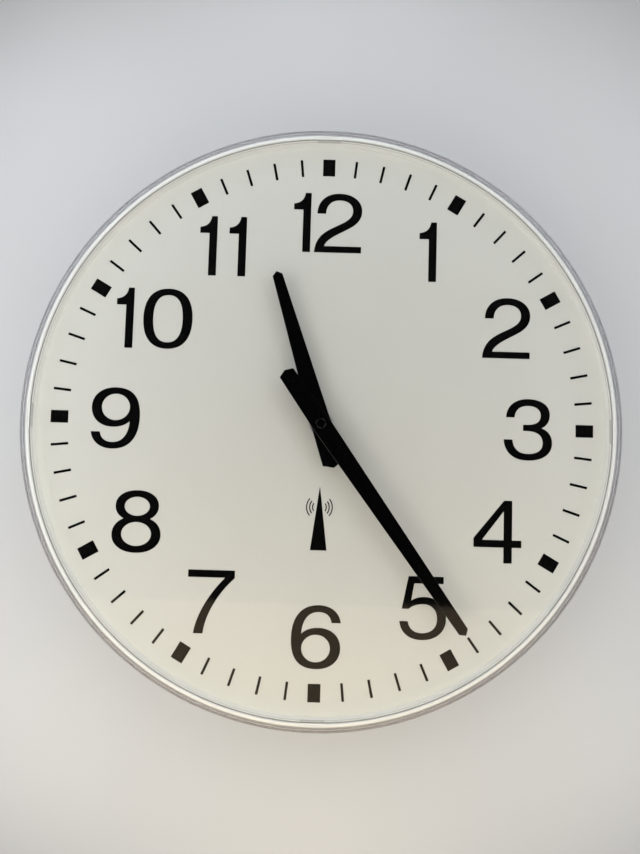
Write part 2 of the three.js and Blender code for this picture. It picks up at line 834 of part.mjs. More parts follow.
const latchPlaces = [bayTop, rotorAxis.y].flatMap((y) => [-1, 1].map((side) => ({ side, y })));
const latchInner = housingOutline.right + seatGap;
const latchOuter = latchInner + latchThickness;
const latchTop = splitHeight + latchLength;

// A box on the right wall, or on the left wall where side is -1
function sideBlock(side, inner, outer, bottom, top, back, front) {
  const [left, right] = side > 0 ? [inner, outer] : [-outer, -inner];
  return block(left, right, bottom, top, back, front);
}

function movementFrontCase() {
  const shell = cut(
    plate(roundedRectangle(housingOutline, housingCorner), splitHeight + seatGap, frontFace),
    plate(roundedRectangle(housingInside, housingCorner - housingWall), splitHeight - 1, frontInside),
    disc(clockAxis, bushingHole, frontInside - 1, frontFace + 1));
  const catches = latchPlaces.map(({ side, y }) => sideBlock(
    side, housingOutline.right - housingWall / 2, latchOuter - latchThickness / 3,
    y - latchWidth / 2 + latchFrame + seatGap, y + latchWidth / 2 - latchFrame - seatGap,
    latchTop - latchFrame - latchWindow + seatGap, latchTop - latchFrame - seatGap));
  const pivots = [intermediateAxis, rotorAxis].map((axis) => disc(
    axis, pivotRadius + pivotGap, frontInside - 1, frontInside + pivotDepth + pivotGap, smallFacets));
  return cut(
    join(
      shell,
      block(-innerHalf - housingWall / 2, innerHalf + housingWall / 2, bayTop - bayWall, bayTop,
        splitHeight + seatGap, frontInside + frontWall / 2),
      ...batteryCradles(),
      ...antennaCradles(innerTop + housingWall / 2, antennaZ + antennaRodRadius / 2, frontInside + frontWall / 2),
      ...bridgePosts.map((place) => pinnedPost(place, bridgeFront, bridgeBack)),
      ...boardPosts.map((place) => pinnedPost(place, boardFront, boardBack)),
      ...statorScrewPlaces.map(motorPost),
      changeStud(),
      ...catches),
    ...pivots);
}

const buttonX = boardRight - boardPostInset - postRadius - buttonRadius - buttonFlange;
const buttonPlaces = [1, 0, -1].map(
  (step) => new THREE.Vector2(buttonX, (boardTop + boardBottom) / 2 + step * buttonSpacing));

function movementBackCover() {
  const tray = cut(
    plate(roundedRectangle(housingOutline, housingCorner), coverBack, splitHeight),
    plate(roundedRectangle(housingInside, housingCorner - housingWall), coverInside, splitHeight + 1));
  const bayWindow = block(
    -batteryLength / 2 - seatGap, batteryLength / 2 + seatGap, innerBottom, bayTop - bayWall,
    coverBack - 1, splitHeight + 1);
  const latches = latchPlaces.map(({ side, y }) => cut(
    join(
      sideBlock(side, latchInner, latchOuter, y - latchWidth / 2, y + latchWidth / 2, coverBack, latchTop),
      sideBlock(side, housingOutline.right - housingWall / 2, latchOuter, y - latchWidth / 2,
        y + latchWidth / 2, coverBack, splitHeight)),
    sideBlock(side, latchInner - 1, latchOuter + 1, y - latchWidth / 2 + latchFrame,
      y + latchWidth / 2 - latchFrame, latchTop - latchFrame - latchWindow, latchTop - latchFrame)));
  return cut(
    join(
      tray,
      block(-innerHalf - housingWall / 2, innerHalf + housingWall / 2, bayTop - bayWall, bayTop,
        coverBack + coverWall / 2, splitHeight),
      ...antennaCradles(innerTop - seatGap, coverInside - coverWall / 2, antennaZ - antennaRodRadius / 2),
      ...latches),
    bayWindow,
    ...buttonPlaces.map((place) => disc(place, buttonRadius + seatGap, coverBack - 1, coverInside + 1)));
}

// Openwork plate with the rear pivots, on three posts
function gearBridge() {
  const pivots = [clockAxis, intermediateAxis, rotorAxis];
  const arms = [
    [clockAxis, intermediateAxis], [intermediateAxis, rotorAxis],
    [bridgePosts[0], intermediateAxis], [bridgePosts[1], clockAxis], [bridgePosts[2], rotorAxis],
  ];
  return cut(
    join(...arms.map(([from, to]) => link(from, to, bridgeArm, bridgeBack, bridgeFront))),
    ...pivots.map((axis) => disc(
      axis, pivotRadius + pivotGap, bridgeBack - 1, bridgeFront + 1, smallFacets)),
    ...bridgePosts.map((place) => disc(
      place, postPinRadius + seatGap, bridgeBack - 1, bridgeFront + 1, smallFacets)));
}

// Circuit board, with a tongue that reaches under the minute wheel
function circuitBoard() {
  return cut(
    join(
      block(boardLeft, boardRight, boardBottom, boardTop, boardBack, boardFront),
      block(tongueLeft, boardLeft + 1, -tongueHalfWidth, tongueHalfWidth, boardBack, boardFront)),
    ...boardPosts.map((place) => disc(
      place, postPinRadius + seatGap, boardBack - 1, boardFront + 1, smallFacets)));
}

const partsBack = boardFront + seatGap;

function positionSensor() {
  const half = sensorSize / 2;
  return block(
    readingHolePlace - half, readingHolePlace + half, -half, half, partsBack, minuteBack - pinionOverhang);
}

function receiverChip() {
  const left = boardLeft + chipSize / 2;
  const bottom = (boardTop + boardBottom) / 2;
  return block(left, left + chipSize, bottom, bottom + chipSize, partsBack, partsBack + chipThickness);
}

function crystal(step) {
  const x = boardLeft + crystalSpacing * (step + 1);
  return new THREE.CylinderGeometry(crystalRadius, crystalRadius, crystalLength, smallFacets)
    .translate(x, (boardBottom + boardPostInset) / 2, partsBack + crystalRadius);
}

// Rods and cells that lie along x
function alongX(profile, y, z, facets = shaftFacets) {
  return revolve(profile, facets).rotateY(Math.PI / 2).translate(0, y, z);
}

function antennaRod() {
  const half = antennaRodLength / 2;
  return alongX([[0, -half], [antennaRodRadius, -half], [antennaRodRadius, half], [0, half]],
    antennaY, antennaZ);
}

function antennaCoil() {
  const half = antennaCoilLength / 2;
  const bore = antennaRodRadius + seatGap;
  return alongX([[bore, -half], [antennaCoilRadius, -half], [antennaCoilRadius, half], [bore, half]],
    antennaY, antennaZ);
}

function batteryCell() {
  const half = batteryLength / 2;
  const shoulder = half - batteryNubLength;
  return alongX([
    [0, -half],
    [batteryRadius - batteryEdge, -half],
    [batteryRadius, batteryEdge - half],
    [batteryRadius, shoulder - batteryEdge],
    [batteryRadius - batteryEdge, shoulder],
    [batteryNubRadius, shoulder],
    [batteryNubRadius, half],
    [0, half],
  ], batteryY, batteryZ);
}

// Leaf spring at one end of the cell, with a foot bent towards the housing's side wall
function batteryContact(side) {
  const face = batteryLength / 2 + seatGap;
  const back = batteryZ - contactHeight / 2;
  const front = batteryZ + contactHeight / 2;
  return join(
    sideBlock(side, face, face + contactThickness, batteryY - contactWidth / 2,
      batteryY + contactWidth / 2, back, front),
    sideBlock(side, face, innerHalf - seatGap, batteryY - contactWidth / 2,
      batteryY + contactWidth / 2, front - contactThickness, front));
}

// A button with a flange that keeps it behind the cover, and the dome that it presses
function pushButton(place) {
  const flangeBack = coverInside + seatGap;
  const plungerFront = boardBack - seatGap - domeThickness - seatGap - buttonTravel;
  const flangeFront = Math.min(flangeBack + buttonFlangeHeight, plungerFront);
  return join(
    disc(place, buttonRadius, coverBack - buttonProud, flangeFront),
    disc(place, buttonRadius + buttonFlange, flangeBack, flangeFront));
}

function switchDome(place) {
  return disc(place, domeRadius, boardBack - seatGap - domeThickness, boardBack - seatGap, smallFacets);
}

// Finishes
const finishes = {
  whitePlastic: { color: 0xe9e9e6, roughness: 0.45, metalness: 0 },
  dialWhite: { color: 0xdcdcd6, roughness: 0.7, metalness: 0 },
  clear: { color: 0xf2f4f6, roughness: 0.05, metalness: 0, transparent: true, opacity: 0.25 },
  handBlack: { color: 0x050505, roughness: 0.6, metalness: 0 },
  blackPlastic: { color: 0x17181a, roughness: 0.5, metalness: 0 },
  steel: { color: 0xb9bbbd, roughness: 0.35, metalness: 1 },
  brass: { color: 0xc4a052, roughness: 0.3, metalness: 1 },
  rubber: { color: 0x1b1b1b, roughness: 0.9, metalness: 0 },
  acetal: { color: 0xe6e2d4, roughness: 0.5, metalness: 0 },
  copper: { color: 0xa65c34, roughness: 0.4, metalness: 1 },
  ferrite: { color: 0x3a3a3c, roughness: 0.7, metalness: 0 },
  board: { color: 0x1f5a36, roughness: 0.5, metalness: 0 },
  cellWrap: { color: 0x3c4147, roughness: 0.35, metalness: 0 },
};

function piece(name, geometry, finish, place = clockAxis) {
  const faceted = geometry.index ? geometry.toNonIndexed() : geometry;
  faceted.computeVertexNormals();
  const mesh = new THREE.Mesh(faceted, new THREE.MeshStandardMaterial(finishes[finish]));
  mesh.name = name;
  mesh.position.set(place.x, place.y, 0);
  return mesh;
}

// Hands at the time shown: a clockwise turn is negative about z
const hourShown = hourOfDay + minuteOfHour / 60;
const minuteGroup = new THREE.Group();
minuteGroup.rotation.z = THREE.MathUtils.degToRad(-minuteOfHour * 6);
minuteGroup.add(
  piece("minute_hand", hand(minuteHandSizes, minuteColletRadius + seatGap, minuteHandBack), "handBlack"),
  piece("minute_collet",
    collet(minuteColletRadius, minuteColletBore, minuteColletBack, minuteHandFront), "handBlack"),
  piece("hand_cap", handCap(), "handBlack"));

const hourGroup = new THREE.Group();
hourGroup.rotation.z = THREE.MathUtils.degToRad(-hourShown * 30);
hourGroup.add(
  piece("hour_hand", hand(hourHandSizes, hourColletRadius + seatGap, hourHandBack), "handBlack"),
  piece("hour_collet", collet(hourColletRadius, hourColletBore, hourColletBack, hourColletFront), "brass"));

const caseGroup = new THREE.Group();
caseGroup.add(
  piece("rear_case", rearCase(), "whitePlastic"),
  piece("dial_plate", tube(clockAxis, dialRadius, bushingHole, dialBack, dialFront, ringFacets), "dialWhite"),
  piece("spacer_ring", spacerRing(), "whitePlastic"),
  piece("front_lens", frontLens(), "clear"),
  piece("hanger_plate", hangerPlate(), "steel"),
  ...hangerScrewPlaces().map((place, index) => piece(`hanger_screw_${index + 1}`, hangerScrew(place), "steel")),
  piece("threaded_bushing", threadedBushing(), "brass"),
  piece("fixing_nut", fixingNut(), "brass"),
  piece("fixing_washer",
    tube(clockAxis, washerRadius, bushingHole, washerBack, washerBack + washerThickness), "steel"),
  piece("rubber_gasket",
    tube(clockAxis, gasketRadius, bushingHole, gasketBack, gasketBack + gasketThickness), "rubber"));

const movementGroup = new THREE.Group();
movementGroup.add(
  piece("movement_front_case", movementFrontCase(), "blackPlastic"),
  piece("movement_back_cover", movementBackCover(), "blackPlastic"),
  piece("gear_bridge", gearBridge(), "acetal"),
  piece("motor_stator", motorStator(), "steel"),
  piece("motor_core", motorCore(), "steel"),
  piece("coil_bobbin", coilBobbin(), "blackPlastic"),
  piece("motor_coil", motorCoil(), "copper"),
  ...statorScrewPlaces.map((place, index) => piece(`stator_screw_${index + 1}`, statorScrew(place), "steel")),
  piece("rotor_magnet", rotorMagnet(), "ferrite", rotorAxis),
  piece("rotor_pinion", rotorPinion(), "acetal", rotorAxis),
  piece("intermediate_wheel", intermediateWheel(), "acetal", intermediateAxis),
  piece("minute_wheel", minuteWheel(), "acetal"),
  piece("minute_arbor", minuteArbor(), "acetal"),
  piece("minute_change_wheel", minuteChangeWheel(), "acetal", changeAxis),
  piece("hour_wheel", hourWheel(), "acetal"),
  piece("circuit_board", circuitBoard(), "board"),
  piece("receiver_chip", receiverChip(), "blackPlastic"),
  piece("clock_crystal", crystal(0), "steel"),
  piece("receiver_crystal", crystal(1), "steel"),
  piece("position_sensor", positionSensor(), "blackPlastic"),
  piece("antenna_rod", antennaRod(), "ferrite"),
  piece("antenna_coil", antennaCoil(), "copper"),
  piece("battery_cell", batteryCell(), "cellWrap"),
  piece("positive_contact", batteryContact(1), "steel"),
  piece("negative_contact", batteryContact(-1), "steel"),
  ...["set_button", "signal_button", "reset_button"].map(
    (name, index) => piece(name, pushButton(buttonPlaces[index]), "acetal")),
  ...buttonPlaces.map((place, index) => piece(`switch_dome_${index + 1}`, switchDome(place), "steel")));

const clockOnItsBack = new THREE.Group();
clockOnItsBack.add(caseGroup, hourGroup, minuteGroup, movementGroup);
clockOnItsBack.rotation.x = Math.PI / 2;

const radioControlledClock = new THREE.Group();
radioControlledClock.add(clockOnItsBack);

export default radioControlledClock;
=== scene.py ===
import math

import bmesh
import bpy
from mathutils import Matrix, Quaternion, Vector


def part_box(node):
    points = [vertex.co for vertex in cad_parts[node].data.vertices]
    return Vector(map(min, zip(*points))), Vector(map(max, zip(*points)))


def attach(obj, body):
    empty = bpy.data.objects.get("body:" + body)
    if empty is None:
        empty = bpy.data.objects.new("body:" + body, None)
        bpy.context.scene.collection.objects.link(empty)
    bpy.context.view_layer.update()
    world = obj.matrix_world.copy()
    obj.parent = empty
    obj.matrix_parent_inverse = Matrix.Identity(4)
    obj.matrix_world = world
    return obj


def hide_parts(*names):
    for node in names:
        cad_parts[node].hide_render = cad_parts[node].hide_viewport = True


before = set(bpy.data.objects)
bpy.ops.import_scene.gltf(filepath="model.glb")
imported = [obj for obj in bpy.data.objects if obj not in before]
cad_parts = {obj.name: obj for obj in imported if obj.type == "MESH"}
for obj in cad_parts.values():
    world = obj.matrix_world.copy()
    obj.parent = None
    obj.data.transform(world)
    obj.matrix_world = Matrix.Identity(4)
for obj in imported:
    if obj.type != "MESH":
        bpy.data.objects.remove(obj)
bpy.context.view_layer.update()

# Wall clock with a radio-controlled movement. The pieces' sizes are in millimetres, seen from the front:
# x runs to 3 o'clock, y to 12 o'clock and height out from the wall.
mm = 0.001


def place(x, y, height):
    return Vector((x * mm, -height * mm, y * mm))


def roundNode(node):
    # outer radius, rear height and front height of a piece that is round about the clock's axis
    low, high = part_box(node)
    return high.x / mm, -high.y / mm, -low.y / mm


lensRadius, lensRear, lensFront = roundNode("front_lens")
ringRadius, ringRear, ringFront = roundNode("spacer_ring")
dialRadius, dialRear, dialFront = roundNode("dial_plate")
caseRadius, caseRear, caseFront = roundNode("rear_case")


# Shader maths
class Value:
    # a socket in an expression; every operator adds its Math node
    def __init__(self, nodes, socket):
        self.nodes = nodes
        self.socket = socket

    def __add__(self, other):
        return self.nodes.math("ADD", self, other)

    def __radd__(self, other):
        return self.nodes.math("ADD", other, self)

    def __rsub__(self, other):
        return self.nodes.math("SUBTRACT", other, self)

    def __mul__(self, other):
        return self.nodes.math("MULTIPLY", self, other)

    def __gt__(self, other):
        return self.nodes.math("GREATER_THAN", self, other)

    def __lt__(self, other):
        return self.nodes.math("LESS_THAN", self, other)


class Nodes:
    # the node tree of a material or of the world
    def __init__(self, tree):
        self.tree = tree

    def feed(self, socket, value):
        if isinstance(value, Value):
            self.tree.links.new(value.socket, socket)
        else:
            socket.default_value = value

    def node(self, kind, settings, sockets, out=0):
        made = self.tree.nodes.new("ShaderNode" + kind)
        for key, value in settings.items():
            setattr(made, key, value)
        for key, value in sockets.items():
            self.feed(made.inputs[key], value)
        return Value(self, made.outputs[out])

    def math(self, operation, first, second=0.0):
        return self.node("Math", {"operation": operation}, {0: first, 1: second})

    def spread(self, value, low, high, start=0.0, end=1.0):
        # a value between low and high becomes one between start and end
        sockets = {"Value": value, "From Min": low, "From Max": high, "To Min": start, "To Max": end}
        return self.node("MapRange", {}, sockets)


class Surface(Nodes):
    # the nodes of one material, with its pattern coordinates in millimetres
    def __init__(self, name):
        self.material = bpy.data.materials.new(name)
        self.material.use_nodes = True
        super().__init__(self.material.node_tree)
        self.shader = self.tree.nodes["Principled BSDF"]
        self.output = self.tree.nodes["Material Output"]
        here = self.node("TexCoord", {}, {}, "Object")
        self.here = self.node("VectorMath", {"operation": "SCALE"}, {0: here, "Scale": 1 / mm})

    def axis(self, letter):
        return self.node("SeparateXYZ", {}, {0: self.here}, letter)

    def fromAxis(self):
        # distance from the clock's axis
        x, z = self.axis("X"), self.axis("Z")
        return self.math("SQRT", x * x + z * z)

    def stretched(self, x, y, z):
        return self.node("VectorMath", {"operation": "MULTIPLY"}, {0: self.here, 1: (x, y, z)})

    def noise(self, scale, detail=3, roughness=0.6, across=None):
        # the scale counts cells per millimetre
        sockets = {"Vector": across or self.here, "Scale": scale, "Detail": detail, "Roughness": roughness}
        return self.node("TexNoise", {}, sockets)

    def mix(self, factor, first, second):
        return self.node("Mix", {"data_type": "RGBA"}, {0: factor, 6: opaque(first), 7: opaque(second)}, 2)

    def bump(self, height, depth):
        return self.node("Bump", {}, {"Strength": 1.0, "Distance": depth * mm, "Height": height})

    def set(self, values):
        for key, value in values.items():
            self.feed(self.shader.inputs[key], opaque(value) if key == "Base Color" else value)
        return self.material


def opaque(colour):
    # shader sockets want four numbers for a colour
    return colour if isinstance(colour, Value) or len(colour) == 4 else (*colour, 1.0)


def shade(colour, amount):
    return tuple(channel * amount for channel in colour)


# Finishes
def mouldedPlastic(name, colour, roughness, grain, grainScale=2.2, cloud=0.05):
    # moulded plastic: faint flow clouds, a spark-eroded grain and an uneven sheen
    s = Surface(name)
    clouds = s.noise(0.018, roughness=0.55)
    fine = s.noise(grainScale)
    wipe = s.noise(0.12, detail=2, roughness=0.5, across=s.stretched(1.0, 1.0, 0.35))
    return s.set({
        "Base Color": s.mix(clouds, shade(colour, 1 - cloud), shade(colour, 1 + cloud / 2)),
        "Roughness": roughness - 0.08 + fine * 0.08 + wipe * 0.1,
        "Normal": s.bump(fine, grain),
    })


def printedDial(name, colour):
    # matt printed sheet: a little mottle in the coat, fibres too fine to count
    s = Surface(name)
    mottle = s.noise(0.03, detail=4)
    fine = s.noise(3.1, detail=2)
    return s.set({
        "Base Color": s.mix(mottle, shade(colour, 0.975), shade(colour, 1.02)),
        "Roughness": 0.55 + fine * 0.12,
        "Specular IOR Level": 0.35,
        "Normal": s.bump(fine + mottle * 2, 0.006),
    })


def printInk(name, colour):
    # screen-printed black: dense, with a slight tooth from the mesh
    s = Surface(name)
    tooth = s.noise(4.0, detail=2)
    return s.set({
        "Base Color": s.mix(tooth, shade(colour, 0.7), shade(colour, 1.4)),
        "Roughness": 0.34 + tooth * 0.12,
        "Specular IOR Level": 0.08,
        "Normal": s.bump(tooth, 0.003),
    })


def handPaint(name, colour, edgeHighlight):
    # stoved black on stamped aluminium with orange peel; the bevels that face left are paler, a painted
    # highlight
    s = Surface(name)
    peel = s.noise(1.3, roughness=0.55)
    lap = s.noise(0.05, detail=2, roughness=0.5)
    facing = s.node("TexCoord", {}, {}, "Normal")
    level = s.math("ABSOLUTE", s.node("SeparateXYZ", {}, {0: facing}, "Y"))
    toLeft = s.node("SeparateXYZ", {}, {0: facing}, "X") < 0.0
    # painted highlight: a paler colour on the bevels that face left, towards the light
    leftEdge = (level > highlightBevel["low"]) * (level < highlightBevel["high"]) * toLeft
    return s.set({
        "Base Color": s.mix(leftEdge, s.mix(lap, shade(colour, 0.8), shade(colour, 1.3)), edgeHighlight),
        "Roughness": 0.13 + peel * 0.08,
        "Specular IOR Level": 0.14,
        "Normal": s.bump(peel, 0.002),
    })


def thinWhitePlastic(name, colour, passed, paintedShade):
    # moulded white that is thin enough to let light from the side through onto the dial; painted shade
    # darkens the narrow groove behind its band, the notches and where the band nears the cover
    s = Surface(name)
    clouds = s.noise(0.018, roughness=0.55)
    fine = s.noise(2.2)
    radius = s.fromAxis()
    height = s.axis("Y") * -1.0
    inGroove = (radius > paintedShade["start"]) * (radius < paintedShade["end"]) * (height < paintedShade["front"])
    inGroove = inGroove * (height > paintedShade["rear"])
    fromCross = s.math("MINIMUM", s.math("ABSOLUTE", s.axis("X")), s.math("ABSOLUTE", s.axis("Z")))
    inNotch = (fromCross < paintedShade["notchHalf"]) * (radius < paintedShade["notchEnd"]) * (height < paintedShade["front"])
    inNotch = inNotch * (height > paintedShade["notchRear"])
    # painted shade: darker where the band nears the cover, in the notches and in the groove behind the band
    atCover = s.spread(radius, paintedShade["coverStart"], paintedShade["coverEnd"])
    atCover = atCover * s.spread(height, paintedShade["coverRear"], paintedShade["coverFront"])
    unshaded = s.mix(clouds, shade(colour, 0.96), colour)
    outer = s.mix(atCover, unshaded, shade(colour, paintedShade["coverShade"]))
    notched = s.mix(inNotch, outer, shade(colour, paintedShade["notchShade"]))
    s.set({
        "Base Color": s.mix(inGroove, notched, shade(colour, paintedShade["grooveShade"])),
        "Roughness": 0.3 + fine * 0.1 + clouds * 0.06,
        "Normal": s.bump(fine, 0.006),
    })
    passShadows(s, passed)
    return s.material


def passShadows(s, colour):
    # light on its way to other pieces goes through, dimmed by the colour at each face
    shadowRay = s.node("LightPath", {}, {}, "Is Shadow Ray")
    through = s.node("BsdfTransparent", {}, {"Color": opaque(colour)})
    made = s.node("MixShader", {}, {0: shadowRay, 1: Value(s, s.shader.outputs[0]), 2: through})
    s.feed(s.output.inputs["Surface"], made)


def clearPlastic(name, tint):
    # polished clear cover; its skirt is tinted grey and its front corner nearly dark, painted shade for how
    # dark they look
    s = Surface(name)
    wipe = s.noise(0.06, across=s.stretched(1.0, 1.0, 0.4))
    along = s.spread(s.fromAxis(), tint["start"], tint["end"])
    inFront = s.spread(s.axis("Y") * -1.0, tint["low"], tint["high"])
    s.set({
        "Base Color": s.mix(along, tint["face"], s.mix(inFront, tint["skirt"], tint["corner"])),
        "Roughness": 0.006 + wipe * 0.02,
        "IOR": 1.49,
        "Transmission Weight": 1.0,
        "Normal": s.bump(wipe, 0.002),
    })
    passShadows(s, tint["passed"])
    return s.material


def sheetMetal(name, colour, roughness=0.3, streak=(0.06, 0.06, 1.6)):
    # plated sheet: rolling streaks, dull spots and a soft mottle in the plating
    s = Surface(name)
    streaks = s.noise(1.2, detail=4, across=s.stretched(*streak))
    spots = s.spread(s.noise(0.5), 0.45, 0.7)
    return s.set({
        "Base Color": s.mix(spots, colour, shade(colour, 0.86)),
        "Metallic": 1.0,
        "Roughness": roughness - 0.06 + streaks * 0.14 + spots * 0.08,
        "Normal": s.bump(streaks, 0.006),
    })


def turnedMetal(name, colour):
    # turned brass: tool rings about the clock's axis, on its sides and its faces
    s = Surface(name)
    radiansPerMm = 28
    rings = s.math("SINE", s.fromAxis() * radiansPerMm + s.axis("Y") * radiansPerMm)
    dull = s.noise(0.7)
    return s.set({
        "Base Color": s.mix(dull, colour, shade(colour, 0.82)),
        "Metallic": 1.0,
        "Roughness": 0.24 + dull * 0.16,
        "Normal": s.bump(rings, 0.006),
    })


def mattRubber(name, colour):
    s = Surface(name)
    bloom = s.noise(0.6, detail=4, roughness=0.65)
    pits = s.noise(5.0, detail=2, roughness=0.5)
    return s.set({
        "Base Color": s.mix(bloom, colour, shade(colour, 1.7)),
        "Roughness": 0.72 + bloom * 0.16,
        "Normal": s.bump(pits, 0.02),
    })


def woundWire(name, colour, along, pitch=0.22):
    # enamelled wire in layers: one ridge for each turn along the coil
    s = Surface(name)
    turns = s.math("ABSOLUTE", s.math("SINE", s.axis(along) * (math.pi / pitch)))
    lay = s.noise(0.9)
    return s.set({
        "Base Color": s.mix(lay, shade(colour, 0.8), shade(colour, 1.15)),
        "Metallic": 0.85,
        "Roughness": 0.28 + lay * 0.14,
        "Coat Weight": 0.3 + lay * 0.3,
        "Normal": s.bump(turns, 0.07),
    })


def sinteredFerrite(name, colour):
    s = Surface(name)
    grains = s.noise(6.0, detail=4, roughness=0.7)
    chips = s.spread(s.noise(0.8), 0.6, 0.75)
    return s.set({
        "Base Color": s.mix(chips, colour, shade(colour, 1.8)),
        "Roughness": 0.5 + grains * 0.25,
        "Normal": s.bump(grains, 0.02),
    })


def circuitLacquer(name, colour):
    # solder mask over copper: tracks show as slightly raised paler bands
    s = Surface(name)
    cells = s.node("TexBrick", {"offset": 0.5}, {
        "Vector": s.stretched(1.0, 0.0, 1.0), "Scale": 0.45, "Mortar Size": 0.05, "Color1": (0, 0, 0, 1),
        "Color2": (0.1, 0.1, 0.1, 1), "Mortar": (1, 1, 1, 1)}, "Fac")
    weave = s.noise(3.0, detail=2, roughness=0.5)
    return s.set({
        "Base Color": s.mix(cells, shade(colour, 1.5), shade(colour, 0.85)),
        "Roughness": 0.28 + weave * 0.14,
        "Coat Weight": 0.25 + weave * 0.1,
        "Normal": s.bump(cells * 0.6 + weave * 0.4, 0.03),
    })


def batterySleeve(name, colours, cell):
    # plain shrink sleeve: dark body, a paler band at the positive end, bare metal at both ends
    s = Surface(name)
    x = s.axis("X")
    scuff = s.noise(0.35, detail=4, roughness=0.65, across=s.stretched(0.4, 1.0, 1.0))
    banded = x > cell["bandStart"]
    bare = (x > cell["sleeveEnd"]) + (x < cell["sleeveStart"])
    sleeve = s.mix(banded, colours["body"], colours["band"])
    return s.set({
        "Base Color": s.mix(bare, sleeve, colours["metal"]),
        "Metallic": bare,
        "Roughness": 0.26 + scuff * 0.16,
        "Coat Weight": (1 - bare) * 0.35,
        "Normal": s.bump(scuff, 0.01),
    })


white = (0.76, 0.76, 0.745)
# where the ring's painted shade lies and how dark it is: in the groove, in the notches and near the cover
ringPaintedShade = {
    "start": ringRadius - 3.9, "end": ringRadius - 3.2, "front": ringFront - 1.25, "rear": ringFront - 4.2,
    "grooveShade": 0.38, "notchHalf": 8.0, "notchEnd": ringRadius - 3.25, "notchRear": ringFront - 5.6,
    "notchShade": 0.68, "coverStart": ringRadius - 1.5, "coverEnd": ringRadius - 0.7,
    "coverRear": ringFront - 10, "coverFront": ringFront - 5, "coverShade": 0.45,
}
# how squarely a face looks forward or back where the hands' bevels get their painted highlight
highlightBevel = {"low": 0.15, "high": 0.97}
# the skirt and corner colours are painted shade on the clear cover; the face has its own faint tint
coverTint = {
    "face": (0.985, 0.992, 0.99), "skirt": (0.75, 0.74, 0.77), "corner": (0.27, 0.26, 0.285),
    "passed": (0.94, 0.95, 0.95), "start": lensRadius - 3.3, "end": lensRadius - 2.5,
    "low": lensFront - 4, "high": lensFront - 3,
}
finishes = {
    "caseWhite": mouldedPlastic("caseWhite", shade(white, 0.97), roughness=0.5, grain=0.02),
    "ringWhite": thinWhitePlastic(
        "ringWhite", shade(white, 1.06), passed=(0.9, 0.9, 0.89), paintedShade=ringPaintedShade),
    "dialSheet": printedDial("dialSheet", (0.62, 0.615, 0.575)),
    "ink": printInk("ink", (0.001, 0.001, 0.001)),
    "hands": handPaint("hands", (0.0006, 0.0006, 0.0006), edgeHighlight=(0.04, 0.04, 0.04)),
    # paler grey for the painted highlight on the hub cap's rim
    "rimHighlightPaint": handPaint("rimHighlightPaint", (0.022, 0.022, 0.022), edgeHighlight=(0.022, 0.022, 0.022)),
    "clear": clearPlastic("clear", coverTint),
    "blackMoulding": mouldedPlastic(
        "blackMoulding", (0.018, 0.018, 0.02), roughness=0.48, grain=0.03, grainScale=3.0, cloud=0.2),
    "glossBlack": handPaint("glossBlack", (0.0006, 0.0006, 0.0006), edgeHighlight=(0.002, 0.002, 0.002)),
    "zinc": sheetMetal("zinc", (0.56, 0.57, 0.59)),
    "nickel": sheetMetal("nickel", (0.62, 0.6, 0.57), roughness=0.22, streak=(0.3, 1.0, 0.3)),
    "brass": turnedMetal("brass", (0.72, 0.5, 0.2)),
    "rubber": mattRubber("rubber", (0.02, 0.02, 0.02)),
    "acetal": mouldedPlastic(
        "acetal", (0.74, 0.7, 0.6), roughness=0.4, grain=0.01, grainScale=2.6, cloud=0.06),
    "copperUp": woundWire("copperUp", (0.6, 0.22, 0.09), along="Z"),
    "copperAcross": woundWire("copperAcross", (0.62, 0.24, 0.1), along="X", pitch=0.4),
    "ferrite": sinteredFerrite("ferrite", (0.045, 0.045, 0.05)),
    "board": circuitLacquer("board", (0.025, 0.13, 0.06)),
}
print("finishes made:", len(finishes))


# Outlines and meshes
sharpAngle = math.radians(32)
weldGap = 0.001 * mm
upright = Matrix.Rotation(math.pi / 2, 4, "X")


def filleted(corners, steps):
    # a closed outline whose corners (x, y, radius) become arcs
    outline = []
    for index, (x, y, radius) in enumerate(corners):
        corner = Vector((x, y))
        if not radius:
            outline.append((x, y))
            continue
        before = (Vector(corners[index - 1][:2]) - corner).normalized()
        after = (Vector(corners[(index + 1) % len(corners)][:2]) - corner).normalized()
        half = before.angle(after) / 2
        centre = corner + (before + after).normalized() * (radius / math.sin(half))
        reach = radius / math.tan(half)
        start = corner + before * reach - centre
        end = corner + after * reach - centre
        first = math.atan2(start.y, start.x)
        turn = (math.atan2(end.y, end.x) - first + math.pi) % (2 * math.pi) - math.pi
        for step in range(steps + 1):
            angle = first + turn * step / steps
            outline.append((centre.x + radius * math.cos(angle), centre.y + radius * math.sin(angle)))
    return outline


def arcPoints(x, y, radius, start, end, steps=5):
    angles = [math.radians(start + (end - start) * step / steps) for step in range(steps + 1)]
    return [(x + radius * math.cos(angle), y + radius * math.sin(angle)) for angle in angles]


def evenAngles(count):
    return [2 * math.pi * step / count for step in range(count)]


def latheMesh(name, outlineAt, angles, centre=(0, 0), toPoint=place):
    # turns a closed outline of (radius, height) about an axis; toPoint puts (x, y, height) into the frame
    bm = bmesh.new()
    rings = []
    onAxis = {}
    for angle in angles:
        ring = []
        for index, (radius, height) in enumerate(outlineAt(angle)):
            if radius == 0 and index in onAxis:
                ring.append(onAxis[index])
                continue
            x, y = centre[0] + radius * math.cos(angle), centre[1] + radius * math.sin(angle)
            vertex = bm.verts.new(toPoint(x, y, height))
            ring.append(vertex)
            if radius == 0:
                onAxis[index] = vertex
        rings.append(ring)
    for ring, following in zip(rings, rings[1:] + rings[:1]):
        for index in range(len(ring)):
            after = (index + 1) % len(ring)
            corners = [ring[index], ring[after], following[after], following[index]]
            face = list(dict.fromkeys(corners))
            if len(face) > 2:
                bm.faces.new(face)
    return meshPiece(name, bm)


